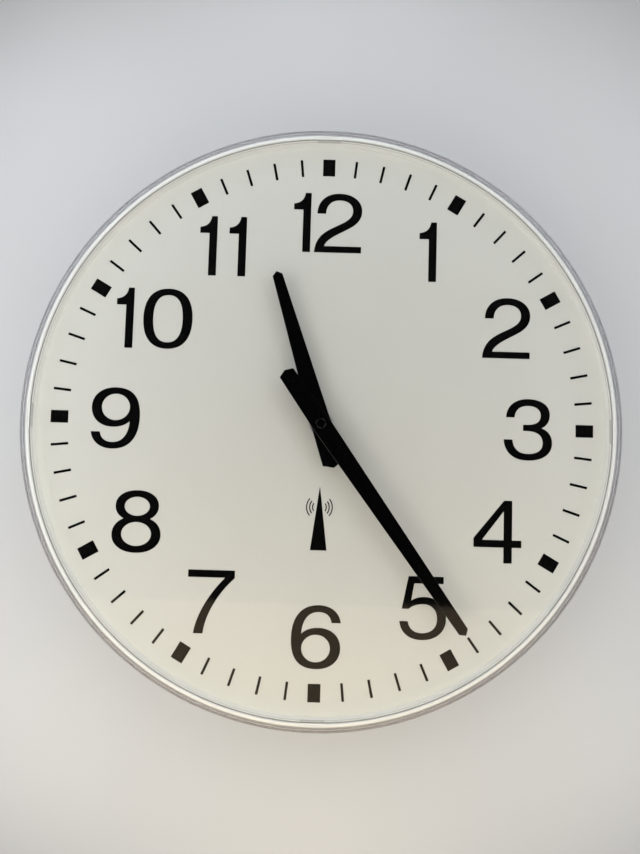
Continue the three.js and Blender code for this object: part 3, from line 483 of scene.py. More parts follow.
def addObject(name, data):
    added = bpy.data.objects.new(name, data)
    bpy.context.scene.collection.objects.link(added)
    return added


def smoothed(mesh):
    # smooth apart from the sharp edges
    mesh.shade_smooth()
    mesh.set_sharp_from_angle(angle=sharpAngle)


def newMesh(name, bm):
    # the bmesh is used up
    mesh = bpy.data.meshes.new(name)
    bm.to_mesh(mesh)
    bm.free()
    return mesh


def meshPiece(name, bm):
    bmesh.ops.recalc_face_normals(bm, faces=bm.faces)
    mesh = newMesh(name, bm)
    smoothed(mesh)
    return addObject(name, mesh)


def evaluatedMesh(piece):
    # its mesh with curves filled and modifiers done
    graph = bpy.context.evaluated_depsgraph_get()
    return bpy.data.meshes.new_from_object(piece.evaluated_get(graph), depsgraph=graph)


def prism(name, outline, low, high, toPoint):
    # a closed outline pushed from low to high; toPoint puts (x, y, push) into the frame
    bm = bmesh.new()
    ends = [[bm.verts.new(toPoint(x, y, push)) for x, y in outline] for push in (low, high)]
    bm.faces.new(ends[0])
    bm.faces.new(ends[1])
    for index in range(len(outline)):
        after = (index + 1) % len(outline)
        bm.faces.new((ends[0][index], ends[0][after], ends[1][after], ends[1][index]))
    return meshPiece(name, bm)


def joined(base, others, operation="UNION"):
    # one closed mesh from several; the others are used up
    group = bpy.data.collections.new(base.name + "_parts")
    for other in others:
        group.objects.link(other)
    cutter = base.modifiers.new("join", "BOOLEAN")
    cutter.operation = operation
    cutter.solver = "EXACT"
    cutter.operand_type = "COLLECTION"
    cutter.collection = group
    made = evaluatedMesh(base)
    base.modifiers.clear()
    base.data = made
    for other in others:
        bpy.data.objects.remove(other)
    bpy.data.collections.remove(group)
    closeHoles(made)
    smoothed(made)
    return base


def closeHoles(mesh):
    # the boolean can drop a long thin face, which is put back here
    bm = bmesh.new()
    bm.from_mesh(mesh)
    openEdges = [edge for edge in bm.edges if edge.is_boundary]
    if openEdges:
        bmesh.ops.holes_fill(bm, edges=openEdges)
        bmesh.ops.recalc_face_normals(bm, faces=bm.faces)
        bm.to_mesh(mesh)
    print("open edges closed in", mesh.name + ":", len(openEdges))
    bm.free()


def dress(piece, finish, body, slot, *nodes):
    # finish, body and slot of a new piece, with the nodes that it stands for; the slot is not used
    piece.data.materials.clear()
    piece.data.materials.append(finishes[finish])
    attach(piece, body)
    if nodes:
        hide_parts(*nodes)
    evenShade = piece.modifiers.new("evenShade", "WEIGHTED_NORMAL")
    evenShade.keep_sharp = True


# Clear cover
coverShape = {
    "wall": 2.4, "face": 2.4, "corner": 3.2, "innerCorner": 0.8, "edge": 0.5, "steps": 8, "turns": 320,
}


def clearCover():
    s = coverShape
    bore, back = lensRadius - s["wall"], lensFront - s["face"]
    outline = filleted([
        (0, lensFront, 0), (lensRadius, lensFront, s["corner"]), (lensRadius, lensRear, s["edge"]),
        (bore, lensRear, s["edge"]), (bore, back, s["innerCorner"]), (0, back, 0)], s["steps"])
    return latheMesh("clear_cover", lambda angle: outline, evenAngles(s["turns"]))


dress(clearCover(), "clear", "cover", "clear_cover", "front_lens")

# White ring under the cover, with its four notches
ringShape = {
    "band": 3.3, "round": 0.5, "notchWidth": 16, "notchDepth": 1.2, "notchDrop": 1.3, "notches": 4,
    "edge": 0.02, "step": 0.02, "lip": 0.35, "groove": 0.5, "lipDrop": 1.4, "grooveDepth": 4.8,
    "lipRound": 0.15, "lipSteps": 2, "outerRound": 2.2, "chamfer": 0.2, "toe": 0.6, "toeGap": 0.08,
    "toeReach": 195.2, "turns": 240,
}


def dialRing():
    # a band under the cover, inside it a lower lip behind a narrow groove, and a toe down on the dial
    s = ringShape
    bore = ringRadius - s["band"]
    lipOuter = bore - s["groove"]
    lipInner = lipOuter - s["lip"]
    lipTop = ringFront - s["lipDrop"]
    lipRound = s["lipRound"]
    half = s["notchWidth"] / 2 / bore

    def outlineAt(angle):
        step = 2 * math.pi / s["notches"]
        offset = abs((angle + step / 2) % step - step / 2)
        inner = bore + (s["notchDepth"] if offset < half else s["step"])
        return [
            (s["toeReach"] - s["toe"], dialFront + s["toeGap"]),
            (s["toeReach"], dialFront + s["toeGap"]), (s["toeReach"], ringRear),
            (ringRadius - s["chamfer"], ringRear), (ringRadius, ringRear + s["chamfer"]),
            *arcPoints(ringRadius - s["outerRound"], ringFront - s["outerRound"], s["outerRound"], 0, 90),
            *arcPoints(inner + s["round"], ringFront - s["round"], s["round"], 90, 180),
            (inner, ringFront - s["notchDrop"]), (bore, ringFront - s["notchDrop"]),
            (bore, ringFront - s["grooveDepth"]), (lipOuter, ringFront - s["grooveDepth"]),
            *arcPoints(lipOuter - lipRound, lipTop - lipRound, lipRound, 0, 90, s["lipSteps"]),
            *arcPoints(lipInner + lipRound, lipTop - lipRound, lipRound, 90, 180, s["lipSteps"]),
        ]

    edge = s["edge"] / bore
    notchEdges = [
        index * 2 * math.pi / s["notches"] + side * half + shift
        for index in range(s["notches"]) for side in (-1, 1) for shift in (-edge, edge)]
    angles = sorted(angle % (2 * math.pi) for angle in evenAngles(s["turns"]) + notchEdges)
    return latheMesh("dial_ring", outlineAt, angles)


dress(dialRing(), "ringWhite", "clock_case", "white_plastic", "spacer_ring")

# Dial sheet
dialShape = {"hole": 4.3, "edge": 0.15, "steps": 2, "turns": 240}


def dialSheet():
    s = dialShape
    outline = filleted([
        (s["hole"], dialRear, 0), (dialRadius, dialRear, s["edge"]), (dialRadius, dialFront, s["edge"]),
        (s["hole"], dialFront, s["edge"])], s["steps"])
    return latheMesh("dial_sheet", lambda angle: outline, evenAngles(s["turns"]))


dress(dialSheet(), "dialSheet", "clock_case", "dial_white", "dial_plate")
print("cover, ring and dial made")

# Printing on the dial. A loop is a start point and its steps: two numbers draw a line to that point, six
# a Bezier curve with both handles first. The figures are drawn larger and scaled down to the cap height.
printShape = {
    "thickness": 0.05, "lift": 0.02, "drawnHeight": 100, "capHeight": 42.0, "curveSteps": 10,
    "offset": (0.45, 0.0),
}


def ellipse(x, y, across, up):
    # four quarters, whose handles reach this share of the radius
    reach = 0.5523
    return [
        (x + across, y),
        (x + across, y + up * reach, x + across * reach, y + up, x, y + up),
        (x - across * reach, y + up, x - across, y + up * reach, x - across, y),
        (x - across, y - up * reach, x - across * reach, y - up, x, y - up),
        (x + across * reach, y - up, x + across, y - up * reach, x + across, y),
    ]


def mapped(loop, change):
    # the loop with change(x, y) done to each point
    return [
        tuple(value for at in range(0, len(step), 2) for value in change(*step[at:at + 2]))
        for step in loop]


def turnedHalf(loop, width):
    # the same outline turned half round within its box
    return mapped(loop, lambda x, y: (width - x, printShape["drawnHeight"] - y))


sixWidth = 76
six = [
    [(75.9, 72.6), (73.5, 90, 60, 100, 41.6, 100), (14, 100, 0, 80, 0, 47), (0, 17, 11, 0, 39, 0),
     (61, 0, 76, 13, 76, 32.5), (76, 51.5, 62, 64.5, 42, 64.5), (31, 64.5, 21.5, 61, 15.6, 54.8),
     (16.5, 75, 25, 89.2, 41.6, 89.2), (53.5, 89.2, 60, 83, 61.7, 72.6)],
    ellipse(38.2, 32.1, 22, 21.5),
]
digits = {
    "0": (81, [
        [(0, 50), (0, 82, 14, 100, 40.5, 100), (67, 100, 81, 82, 81, 50), (81, 18, 67, 0, 40.5, 0),
         (14, 0, 0, 18, 0, 50)],
        [(16.2, 50), (16.2, 77, 25, 89.2, 40.5, 89.2), (56, 89.2, 64.8, 77, 64.8, 50),
         (64.8, 23, 56, 10.8, 40.5, 10.8), (25, 10.8, 16.2, 23, 16.2, 50)]]),
    "1": (28.5, [
        [(15.5, 0), (28.5, 0), (28.5, 100), (18.8, 100), (17.5, 89, 11, 82.5, 0, 81.6), (0, 71.4),
         (15.5, 71.4)]]),
    "2": (78.4, [
        [(0, 0), (78, 0), (78, 10.8), (16.5, 10.8), (21, 24, 40, 31, 57, 41),
         (70, 48, 78.4, 57, 78.4, 70.8), (78.4, 88, 63, 100, 41, 100), (18, 100, 4, 86, 4, 65.5),
         (18.5, 65.5), (18.5, 79, 27, 88.5, 41, 88.5), (55, 88.5, 63.3, 81.5, 63.3, 70.8),
         (63.3, 60, 55, 54.5, 44, 48.5), (22, 37.5, 2, 30, 0, 0)]]),
    "3": (80, [
        [(0, 33.5), (1.5, 12, 16, 0, 40, 0), (64, 0, 80, 11, 80, 28.5), (80, 41, 73, 49.5, 62.5, 53),
         (70.5, 56.5, 76, 64, 76, 75), (76, 91, 61, 100, 40, 100), (18, 100, 4.5, 88, 3.6, 69.5),
         (17.8, 69.5), (18.5, 82, 27, 88.8, 40, 88.8), (53, 88.8, 61, 83, 61, 73.5),
         (61, 63, 53, 58, 38, 58), (32, 58), (32, 48), (38, 48), (55, 48, 64.5, 41.5, 64.5, 28.3),
         (64.5, 17, 55, 10.8, 40, 10.8), (25, 10.8, 15.5, 18.5, 14.7, 33.5)]]),
    "4": (77, [
        [(48.2, 0), (61.7, 0), (61.7, 25), (77, 25), (77, 36.7), (61.7, 36.7), (61.7, 100), (48.7, 100),
         (0, 39.5), (0, 25), (48.2, 25)],
        [(48.2, 36.7), (13.5, 36.7), (48.2, 83)]]),
    "5": (76, [
        [(0, 29), (2, 11, 15, 0, 37, 0), (60, 0, 76, 13.5, 76, 33.5), (76, 54, 61, 67.7, 41, 67.7),
         (32, 67.7, 24, 65.3, 18.8, 61.5), (23.3, 88.8), (71.2, 88.8), (71.2, 100), (13.8, 100),
         (3.6, 48.4), (15.2, 48.4), (20, 53.5, 29, 56.3, 39, 56.3), (53, 56.3, 61.4, 47, 61.4, 33),
         (61.4, 19, 51, 10.8, 37, 10.8), (24, 10.8, 15.5, 17, 13.8, 29)]]),
    "6": (sixWidth, six),
    "7": (75, [
        [(11.2, 0), (26.6, 0), (30, 33, 51, 66, 75, 88), (75, 100), (0, 100), (0, 88.3), (59.3, 88.3),
         (36, 64, 15.5, 31, 11.2, 0)]]),
    "8": (78, [
        [(0, 28.7), (0, 12, 15.5, 0, 39, 0), (62.5, 0, 78, 12, 78, 29), (78, 41, 71, 50, 60, 54.5),
         (68.5, 58.5, 73.5, 66, 73.5, 75), (73.5, 90, 59.5, 100, 39, 100), (18.5, 100, 4.5, 90, 4.5, 75),
         (4.5, 66, 9.5, 58.5, 18, 54.5), (7, 50, 0, 41, 0, 28.7)],
        ellipse(39, 74.2, 20, 15.2),
        ellipse(39, 30, 23.7, 19.1)]),
    "9": (sixWidth, [turnedHalf(loop, sixWidth) for loop in six]),
}
# middle of each hour's numeral, the space between its figures and their stretch in width
numerals = {
    "centres": {
        "12": (0.1, 140.1), "1": (70.2, 121.5), "2": (125.2, 69.6), "3": (140.8, 0.0), "4": (120.9, -69.5),
        "5": (71.4, -121.7), "6": (0.1, -142.7), "7": (-71.2, -121.5), "8": (-123.3, -69.6),
        "9": (-141.0, 0.0), "10": (-117.6, 69.5), "11": (-72.3, 121.6)},
    "spaces": {"12": 6.4, "10": 16, "11": 20},
    "stretch": {"3": 0.985, "5": 0.98, "6": 1.04, "8": 1.015, "9": 1.04},
}


def printed(name, loops):
    # closed outlines in millimetres on the dial, filled to the ink's thickness; holes stay open
    s = printShape
    data = bpy.data.curves.new(name, "CURVE")
    data.dimensions = "2D"
    data.fill_mode = "BOTH"
    data.resolution_u = s["curveSteps"]
    data.extrude = s["thickness"] / 2 * mm
    for loop in loops:
        addSpline(data, loop)
    drawn = addObject(name, data)
    middle = dialFront + s["lift"] + s["thickness"] / 2
    drawn.matrix_world = Matrix.Translation(place(*s["offset"], middle)) @ upright
    bpy.context.view_layer.update()
    mesh = evaluatedMesh(drawn)
    mesh.transform(drawn.matrix_world)
    bpy.data.objects.remove(drawn)
    bm = bmesh.new()
    bm.from_mesh(mesh)
    bmesh.ops.remove_doubles(bm, verts=bm.verts, dist=weldGap)
    bpy.data.meshes.remove(mesh)
    return meshPiece(name, bm)


def addSpline(data, loop):
    # a loop that doesn't end where it starts is closed by a line
    steps = loop[1:]
    if (Vector(loop[-1][-2:]) - Vector(loop[0])).length * mm > weldGap:
        steps.append(loop[0])
    knots, outgoing, incoming = [loop[0]], [], []
    for step in steps:
        end = step[-2:]
        handles = thirds(knots[-1], end) if len(step) == 2 else (step[:2], step[2:4])
        outgoing.append(handles[0])
        incoming.append(handles[1])
        knots.append(end)
    knots.pop()
    spline = data.splines.new("BEZIER")
    spline.bezier_points.add(len(knots) - 1)
    spline.use_cyclic_u = True
    for index, knot in enumerate(spline.bezier_points):
        knot.handle_left_type = knot.handle_right_type = "FREE"
        knot.co = flat(knots[index])
        knot.handle_right = flat(outgoing[index])
        knot.handle_left = flat(incoming[index - 1])


def thirds(first, second):
    a, b = Vector(first), Vector(second)
    return a + (b - a) / 3, a + (b - a) * 2 / 3


def flat(point):
    return (point[0] * mm, point[1] * mm, 0)


def numeralLoops(text):
    wide = numerals["stretch"].get(text, 1)
    widths = [digits[figure][0] * wide for figure in text]
    space = numerals["spaces"].get(text, 0)
    total = sum(widths) + space * (len(text) - 1)
    scale = printShape["capHeight"] / printShape["drawnHeight"]
    middle, up = numerals["centres"][text]
    left = middle - total * scale / 2
    low = up - printShape["capHeight"] / 2
    loops = []
    for figure, width in zip(text, widths):
        for loop in digits[figure][1]:
            loops.append(mapped(loop, lambda x, y: (x * scale * wide + left, y * scale + low)))
        left += (width + space) * scale
    return loops


numeralPiece = printed("hour_numerals", [
    loop for text in numerals["centres"] for loop in numeralLoops(text)])
dress(numeralPiece, "ink", "clock_case", "black_plastic")

trackShape = {"inner": 173.3, "outer": 185.3, "tick": 1.75, "block": 8.5}


def minuteTrack():
    s = trackShape
    loops = []
    for minute in range(60):
        half = (s["tick"] if minute % 5 else s["block"]) / 2
        angle = math.radians(minute * 6)
        along = Vector((math.sin(angle), math.cos(angle)))
        across = Vector((math.cos(angle), -math.sin(angle)))
        corners = [(s["inner"], -half), (s["inner"], half), (s["outer"], half), (s["outer"], -half)]
        loops.append([tuple(along * reach + across * side) for reach, side in corners])
    return printed("minute_track", loops)


dress(minuteTrack(), "ink", "clock_case", "black_plastic")

mastShape = {
    "x": 0.05, "tip": -43.2, "foot": -85.4, "tipWidth": 0.3, "footWidth": 11.2, "middle": -56.5,
    "arcs": (4.6, 6.6, 8.7), "stroke": 0.75, "halfAngle": (34, 38, 41), "steps": 14,
}


def mastSign():
    # the common sign for a radio signal: a mast with waves on both sides
    s = mastShape
    x, middle, thick = s["x"], s["middle"], s["stroke"] / 2
    loops = [[
        (x - s["footWidth"] / 2, s["foot"]), (x + s["footWidth"] / 2, s["foot"]),
        (x + s["tipWidth"] / 2, s["tip"]), (x - s["tipWidth"] / 2, s["tip"])]]
    for radius, half in zip(s["arcs"], s["halfAngle"]):
        for side in (0, 180):
            outer = arcPoints(x, middle, radius + thick, side - half, side + half, s["steps"])
            inner = arcPoints(x, middle, radius - thick, side + half, side - half, s["steps"])
            loops.append(outer + inner)
    return printed("mast_sign", loops)


dress(mastSign(), "ink", "clock_case", "black_plastic")
print("dial printed")

# Rear case
caseShape = {
    "hole": 4.3, "floorBack": 22.05, "floorFront": 24.55, "skirtTop": 190.5, "skirtBottom": 182.0,
    "skirtWall": 2.5, "rimOuter": 197.3, "rimBore": 195.4, "innerBend": 0.8, "outerBend": 1.2, "edge": 0.6,
    "frontEdge": 0.5, "rimEdge": 0.4, "rimFoot": 0.25, "ribHeight": 8, "ribThickness": 1.6, "ribSink": 1.25,
    "ribEdge": 0.4, "ribBend": 3, "ribSteps": 4, "hubRing": 56.84, "ribTaper": 10, "ribs": 8,
    "postRadius": 4.5, "postFlare": 0.3, "postBore": 1.6, "postDepth": 8, "postEdges": (0.3, 0.4),
    "posts": ((-12, 140), (12, 140)), "postEnd": 2.9, "webSink": 1, "steps": 3, "turns": 240,
    "hubTurns": 120, "postTurns": 40,
}


def rearShell():
    s = caseShape
    outline = filleted([
        (s["hole"], s["floorBack"], 0),
        (s["skirtTop"] - s["skirtWall"], s["floorBack"], s["innerBend"]),
        (s["skirtBottom"] - s["skirtWall"], caseRear, s["edge"]),
        (s["skirtBottom"], caseRear, s["edge"]),
        (s["skirtTop"], s["floorBack"], s["outerBend"]),
        (caseRadius, s["floorBack"], s["edge"]),
        (caseRadius, s["floorFront"], s["frontEdge"]),
        (s["rimOuter"], s["floorFront"], s["rimFoot"]),
        (s["rimOuter"], caseFront, s["rimEdge"]),
        (s["rimBore"], caseFront, s["rimEdge"]),
        (s["rimBore"], s["floorFront"], s["rimFoot"]),
        (s["hole"], s["floorFront"], 0)], s["steps"])
    shell = latheMesh("rear_shell", lambda angle: outline, evenAngles(s["turns"]))
    ribRear = s["floorBack"] - s["ribHeight"]
    ribFront = s["floorBack"] + s["ribSink"]
    hub = filleted([
        (s["hubRing"], ribRear, s["ribEdge"]), (s["hubRing"] + s["ribThickness"], ribRear, s["ribEdge"]),
        (s["hubRing"] + s["ribThickness"], ribFront, 0), (s["hubRing"], ribFront, 0)], s["steps"])
    parts = [latheMesh("hub", lambda angle: hub, evenAngles(s["hubTurns"]))]
    for index in range(s["ribs"]):
        parts.append(radialRib(index, ribRear, ribFront))
    boreEnd = s["postEnd"] + s["postDepth"]
    boreEdge, postEdge = s["postEdges"]
    post = filleted([
        (0, boreEnd, 0), (s["postBore"], boreEnd, 0), (s["postBore"], s["postEnd"], boreEdge),
        (s["postRadius"], s["postEnd"], postEdge), (s["postRadius"] + s["postFlare"], ribFront, 0),
        (0, ribFront, 0)], s["steps"])
    half = s["ribThickness"] / 2
    for x, y in s["posts"]:
        parts.append(latheMesh("post", lambda angle: post, evenAngles(s["postTurns"]), (x, y)))
        low, high = y + s["postRadius"] / 2, s["skirtBottom"] - s["skirtWall"] + s["webSink"]
        web = [(x - half, low), (x + half, low), (x + half, high), (x - half, high)]
        parts.append(prism("web", web, ribRear, ribFront, place))
    return joined(shell, parts)


def radialRib(index, ribRear, ribFront):
    s = caseShape
    slope = (s["skirtTop"] - s["skirtBottom"]) / s["floorBack"]
    start = s["hubRing"] + s["ribThickness"] / 2
    end = s["skirtTop"] - s["skirtWall"] / 2
    side = filleted([
        (start, ribFront, 0), (start, s["floorBack"] - s["ribHeight"] / 2, 0),
        (s["hubRing"] + s["ribTaper"], ribRear, s["ribBend"]), (end - slope * s["ribHeight"], ribRear, 0),
        (end, ribFront, 0)], s["ribSteps"])
    angle = (index + 0.5) * 2 * math.pi / s["ribs"]
    along = Vector((math.cos(angle), math.sin(angle)))
    across = Vector((-math.sin(angle), math.cos(angle)))

    def toPoint(reach, height, push):
        spot = along * reach + across * push
        return place(spot.x, spot.y, height)

    return prism("rib", side, -s["ribThickness"] / 2, s["ribThickness"] / 2, toPoint)


dress(rearShell(), "caseWhite", "clock_case", "white_plastic", "rear_case")
print("rear case made")

# Hub cap: a disc with a thin raised ring, broken by four slits
capShape = {
    "ring": 0.5, "ringFoot": 0.15, "slit": 0.9, "slitFall": 0.05, "dish": 0.35, "chamfer": 0.3, "slits": 4,
    "turns": 96,
}


def hubCap():
    s = capShape
    radius, rear, front = roundNode("hand_cap")
    low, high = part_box("hand_cap")
    middle = ((low.x + high.x) / 2 / mm, (low.z + high.z) / 2 / mm)
    rim, dish = radius - s["ring"], front - s["dish"]
    step = 2 * math.pi / s["slits"]

    def outlineAt(angle):
        inSlit = abs((angle + step / 2) % step - step / 2) * rim < s["slit"] / 2
        ringTop = dish if inSlit else front
        return [
            (0, rear), (radius, rear), (radius, dish - s["chamfer"]),
            (radius - s["chamfer"], ringTop - (s["slitFall"] if inSlit else 0)), (rim, ringTop),
            (rim - s["ringFoot"], dish), (0, dish)]

    return latheMesh("hub_cap", outlineAt, evenAngles(s["turns"]), middle)


dress(hubCap(), "glossBlack", "minute_hand_set", "black_plastic", "hand_cap")

hubRingShape = {
    "inner": 2.85, "outer": 3.35, "gap": 24, "arcs": 4, "turn": 18, "steps": 8, "height": 0.02,
    "depth": 0.06,
}


def hubRing():
    # four short arcs on the cap's rim in a paler grey: a painted highlight where the rim catches the light
    s = hubRingShape
    front = roundNode("hand_cap")[2]
    sweep = 360 / s["arcs"]
    arcs = []
    for index in range(s["arcs"]):
        start = s["turn"] + index * sweep + s["gap"] / 2
        end = start + sweep - s["gap"]
        outer = arcPoints(0, 0, s["outer"], start, end, s["steps"])
        inner = arcPoints(0, 0, s["inner"], end, start, s["steps"])
        arcs.append(prism("hub_ring", outer + inner, front - s["depth"], front + s["height"], place))
    return joined(arcs[0], arcs[1:])


dress(hubRing(), "rimHighlightPaint", "minute_hand_set", "black_plastic")

# Battery
cellShape = {
    "footInset": 1.4, "footHeight": 0.3, "footEdge": 0.2, "crimpInset": 0.5, "sleeveInset": 1.0,
    "sleeveEdge": 0.4, "shoulderInset": 1.0, "shoulderDrop": 0.1, "dishInset": 2.4, "dishDrop": 0.4,
    "nubRadius": 2.7, "nubLength": 1.2, "nubFoot": 0.3, "nubFootEdge": 0.1, "nubEdge": 0.35, "steps": 4,
    "turns": 96, "band": 13, "bareFoot": 0.6, "bareShoulder": 0.7,
}
cellColours = {"body": (0.02, 0.022, 0.026), "band": (0.42, 0.2, 0.05), "metal": (0.6, 0.6, 0.6)}


def batteryCell():
    s = cellShape
    low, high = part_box("battery_cell")
    radius = (high.z - low.z) / 2 / mm
    half = (high.x - low.x) / 2 / mm
    centre = (low.z + high.z) / 2 / mm, -(low.y + high.y) / 2 / mm
    shoulder = half - s["nubLength"]
    outline = filleted([
        (0, -half, 0), (radius - s["footInset"], -half, s["footEdge"]),
        (radius - s["footInset"], s["footHeight"] - half, 0),
        (radius - s["crimpInset"], s["footHeight"] - half, s["footEdge"]),
        (radius, s["sleeveInset"] - half, s["sleeveEdge"]),
        (radius, shoulder - s["sleeveInset"], s["sleeveEdge"]),
        (radius - s["shoulderInset"], shoulder - s["shoulderDrop"], s["footEdge"]),
        (radius - s["dishInset"], shoulder - s["dishDrop"], 0),
        (s["nubRadius"] + s["nubFoot"], shoulder, s["nubFootEdge"]),
        (s["nubRadius"], half, s["nubEdge"]), (0, half, 0)], s["steps"])
    finishes["sleeve"] = batterySleeve("sleeve", cellColours, {
        "bandStart": shoulder - s["band"], "sleeveEnd": shoulder - s["bareShoulder"],
        "sleeveStart": s["bareFoot"] - half})

    def toPoint(up, out, along):
        return place(along, up, out)

    return latheMesh("battery", lambda angle: outline, evenAngles(s["turns"]), centre, toPoint)


dress(batteryCell(), "sleeve", "battery", "cell_wrap", "battery_cell")

# Screws of the hanger plate: domed heads with a cross recess
screwShape = {
    "head": 3.0, "headHeight": 0.8, "domeStart": 1.65, "domeRound": 0.6, "rim": 0.15, "rimEdge": 0.1,
    "shank": 1.3, "tipEdge": 0.4, "cross": 0.7, "crossReach": 1.6, "crossDepth": 0.55, "crossRise": 1,
    "steps": 4, "turns": 40,
}


def hangerScrew(node):
    s = screwShape
    low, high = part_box(node)
    x, y = (low.x + high.x) / 2 / mm, (low.z + high.z) / 2 / mm
    rear, front = -high.y / mm, -low.y / mm
    under = rear + s["headHeight"]
    outline = filleted([
        (0, rear, 0), (s["domeStart"], rear, s["domeRound"]), (s["head"], under - s["rim"], s["rimEdge"]),
        (s["head"], under, 0), (s["shank"], under, 0), (s["shank"], front, s["tipEdge"]), (0, front, 0),
    ], s["steps"])
    name = node.replace("hanger_screw", "case_screw")
    screw = latheMesh(name, lambda angle: outline, evenAngles(s["turns"]), (x, y))
    arms = []
    for reach, width in ((s["crossReach"], s["cross"]), (s["cross"], s["crossReach"])):
        corners = [(x - reach / 2, y - width / 2), (x + reach / 2, y - width / 2),
                   (x + reach / 2, y + width / 2), (x - reach / 2, y + width / 2)]
        arms.append(prism("arm", corners, rear - s["crossRise"], rear + s["crossDepth"], place))
    return joined(screw, arms, "DIFFERENCE")


for node in ("hanger_screw_1", "hanger_screw_2"):
    dress(hangerScrew(node), "zinc", "clock_case", "steel", node)
print("cap, battery and screws made")

# Pieces that keep their CAD form get a finish, and those with an edge width softened edges
keptPieces = {
    "hands": ("hour_hand", "minute_hand", "minute_collet"),
    "brass": ("threaded_bushing", "fixing_nut", "hour_collet"),
    "zinc": ("hanger_plate", "fixing_washer"),
    "rubber": ("rubber_gasket",),
    "blackMoulding": (
        "movement_front_case", "movement_back_cover", "coil_bobbin", "receiver_chip", "position_sensor"),
    "acetal": (
        "gear_bridge", "rotor_pinion", "intermediate_wheel", "minute_wheel", "minute_arbor",
        "minute_change_wheel", "hour_wheel", "set_button", "signal_button", "reset_button"),
    "nickel": (
        "motor_stator", "motor_core", "stator_screw_1", "stator_screw_2", "clock_crystal", "receiver_crystal",
        "positive_contact", "negative_contact", "switch_dome_1", "switch_dome_2", "switch_dome_3"),
    "copperUp": ("motor_coil",),
    "copperAcross": ("antenna_coil",),
    "ferrite": ("rotor_magnet", "antenna_rod"),
    "board": ("circuit_board",),
}
edgeWidths = {
    "hands": 0.08, "blackMoulding": 0.2, "zinc": 0.12, "brass": 0.12, "nickel": 0.05, "acetal": 0.06,
}
edgeRounding = {"segments": 2, "angle": math.radians(35)}


def softenEdges(node, width):
    # welded corners, then a narrow rounding where faces meet sharply
    weld = node.modifiers.new("weld", "WELD")
    weld.merge_threshold = weldGap
    soften = node.modifiers.new("soften", "BEVEL")
    soften.width = width * mm
    soften.segments = edgeRounding["segments"]
    soften.limit_method = "ANGLE"
    soften.angle_limit = edgeRounding["angle"]
    soften.harden_normals = True


for finish, nodes in keptPieces.items():
    for node in nodes:
        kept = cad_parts[node]
        for materialSlot in kept.material_slots:
            materialSlot.material = finishes[finish]
        if finish in edgeWidths:
            softenEdges(kept, edgeWidths[finish])
print("kept pieces finished:", sum(len(nodes) for nodes in keptPieces.values()))


# Stage, light and camera, with sizes in metres and angles in degrees
def stagePaint(name, colour, fadeStart=None, fadeEnd=None):
    # a plain matt surface seen by the eye, in mirrors and through glass, from its front side only; it
    # shows the clock's shadow but shades nothing itself, and fades out where its front edge would be
    s = Surface(name)
    plaster = s.noise(0.02, detail=4)
    s.set({
        "Base Color": s.mix(plaster, shade(colour, 0.98), colour),
        "Roughness": 0.9 + plaster * 0.05,
        "Specular IOR Level": 0.1,
    })
    facing = 1 - s.node("NewGeometry", {}, {}, "Backfacing")
    camera = s.node("LightPath", {}, {}, "Is Camera Ray")
    glossy = s.node("LightPath", {}, {}, "Is Glossy Ray")
    refracted = s.node("LightPath", {}, {}, "Is Transmission Ray")
    seen = s.math("MINIMUM", camera + glossy + refracted, 1.0) * facing
    if fadeEnd:
        seen = seen * s.spread(s.axis("Y"), fadeEnd, fadeStart)
    clear = s.node("BsdfTransparent", {}, {})
    s.feed(s.output.inputs["Surface"], s.node("MixShader", {}, {
        0: seen, 1: clear, 2: Value(s, s.shader.outputs[0])}))
    return s.material


stageShape = {
    "wallBehind": 0.0006, "wallHalf": 3.0, "wallColour": (0.47, 0.475, 0.475),
    "floorLevel": -0.35, "floorFront": -1.03, "floorFade": 0.07, "floorBack": 1.4, "floorHalf": 3.0,
    "floorColour": (0.56, 0.43, 0.28),
}


def stagePlane(name, corners, material):
    bm = bmesh.new()
    bm.faces.new([bm.verts.new(corner) for corner in corners])
    mesh = newMesh(name, bm)
    mesh.materials.append(material)
    addObject(name, mesh)


def buildStage():
    s = stageShape
    y, half, top, low = s["wallBehind"], s["wallHalf"], s["wallHalf"], s["floorLevel"]
    wall = stagePaint("wallPaint", s["wallColour"])
    stagePlane("wall_backdrop", [(-half, y, low), (half, y, low), (half, y, top), (-half, y, top)], wall)
    half, front, back = s["floorHalf"], s["floorFront"], s["floorBack"]
    floor = stagePaint("floorPaint", s["floorColour"], (front + s["floorFade"]) / mm, front / mm)
    stagePlane("floor", [
        (-half, front, low), (half, front, low), (half, back, low), (-half, back, low)], floor)


roomShape = {
    "tint": (0.98, 0.99, 1.0, 1.0), "sides": 0.55, "front": 0.85, "dark": 0.006, "sidesEnd": 90,
    "frontStart": 66, "paleCone": 40, "darkCone": 29, "camera": 0.8,
}


def buildWorld():
    # soft room light that is dark straight in front of the dial, where the cover mirrors the room
    s = roomShape
    world = bpy.data.worlds.new("room")
    bpy.context.scene.world = world
    world.use_nodes = True
    room = Nodes(world.node_tree)
    background = room.tree.nodes["Background"]
    direction = room.node("TexCoord", {}, {}, "Generated")
    ahead = room.node("SeparateXYZ", {}, {0: direction}, "Y") * -1.0

    def cone(angle):
        return math.cos(math.radians(angle))

    around = room.spread(ahead, cone(s["sidesEnd"]), cone(s["frontStart"]), s["sides"], s["front"])
    inDark = room.spread(ahead, cone(s["paleCone"]), cone(s["darkCone"]))
    strength = around * (1 - inDark) + inDark * s["dark"]
    seen = room.node("LightPath", {}, {}, "Is Camera Ray")
    room.feed(background.inputs["Color"], s["tint"])
    room.feed(background.inputs["Strength"], strength * (1 - seen) + seen * s["camera"])


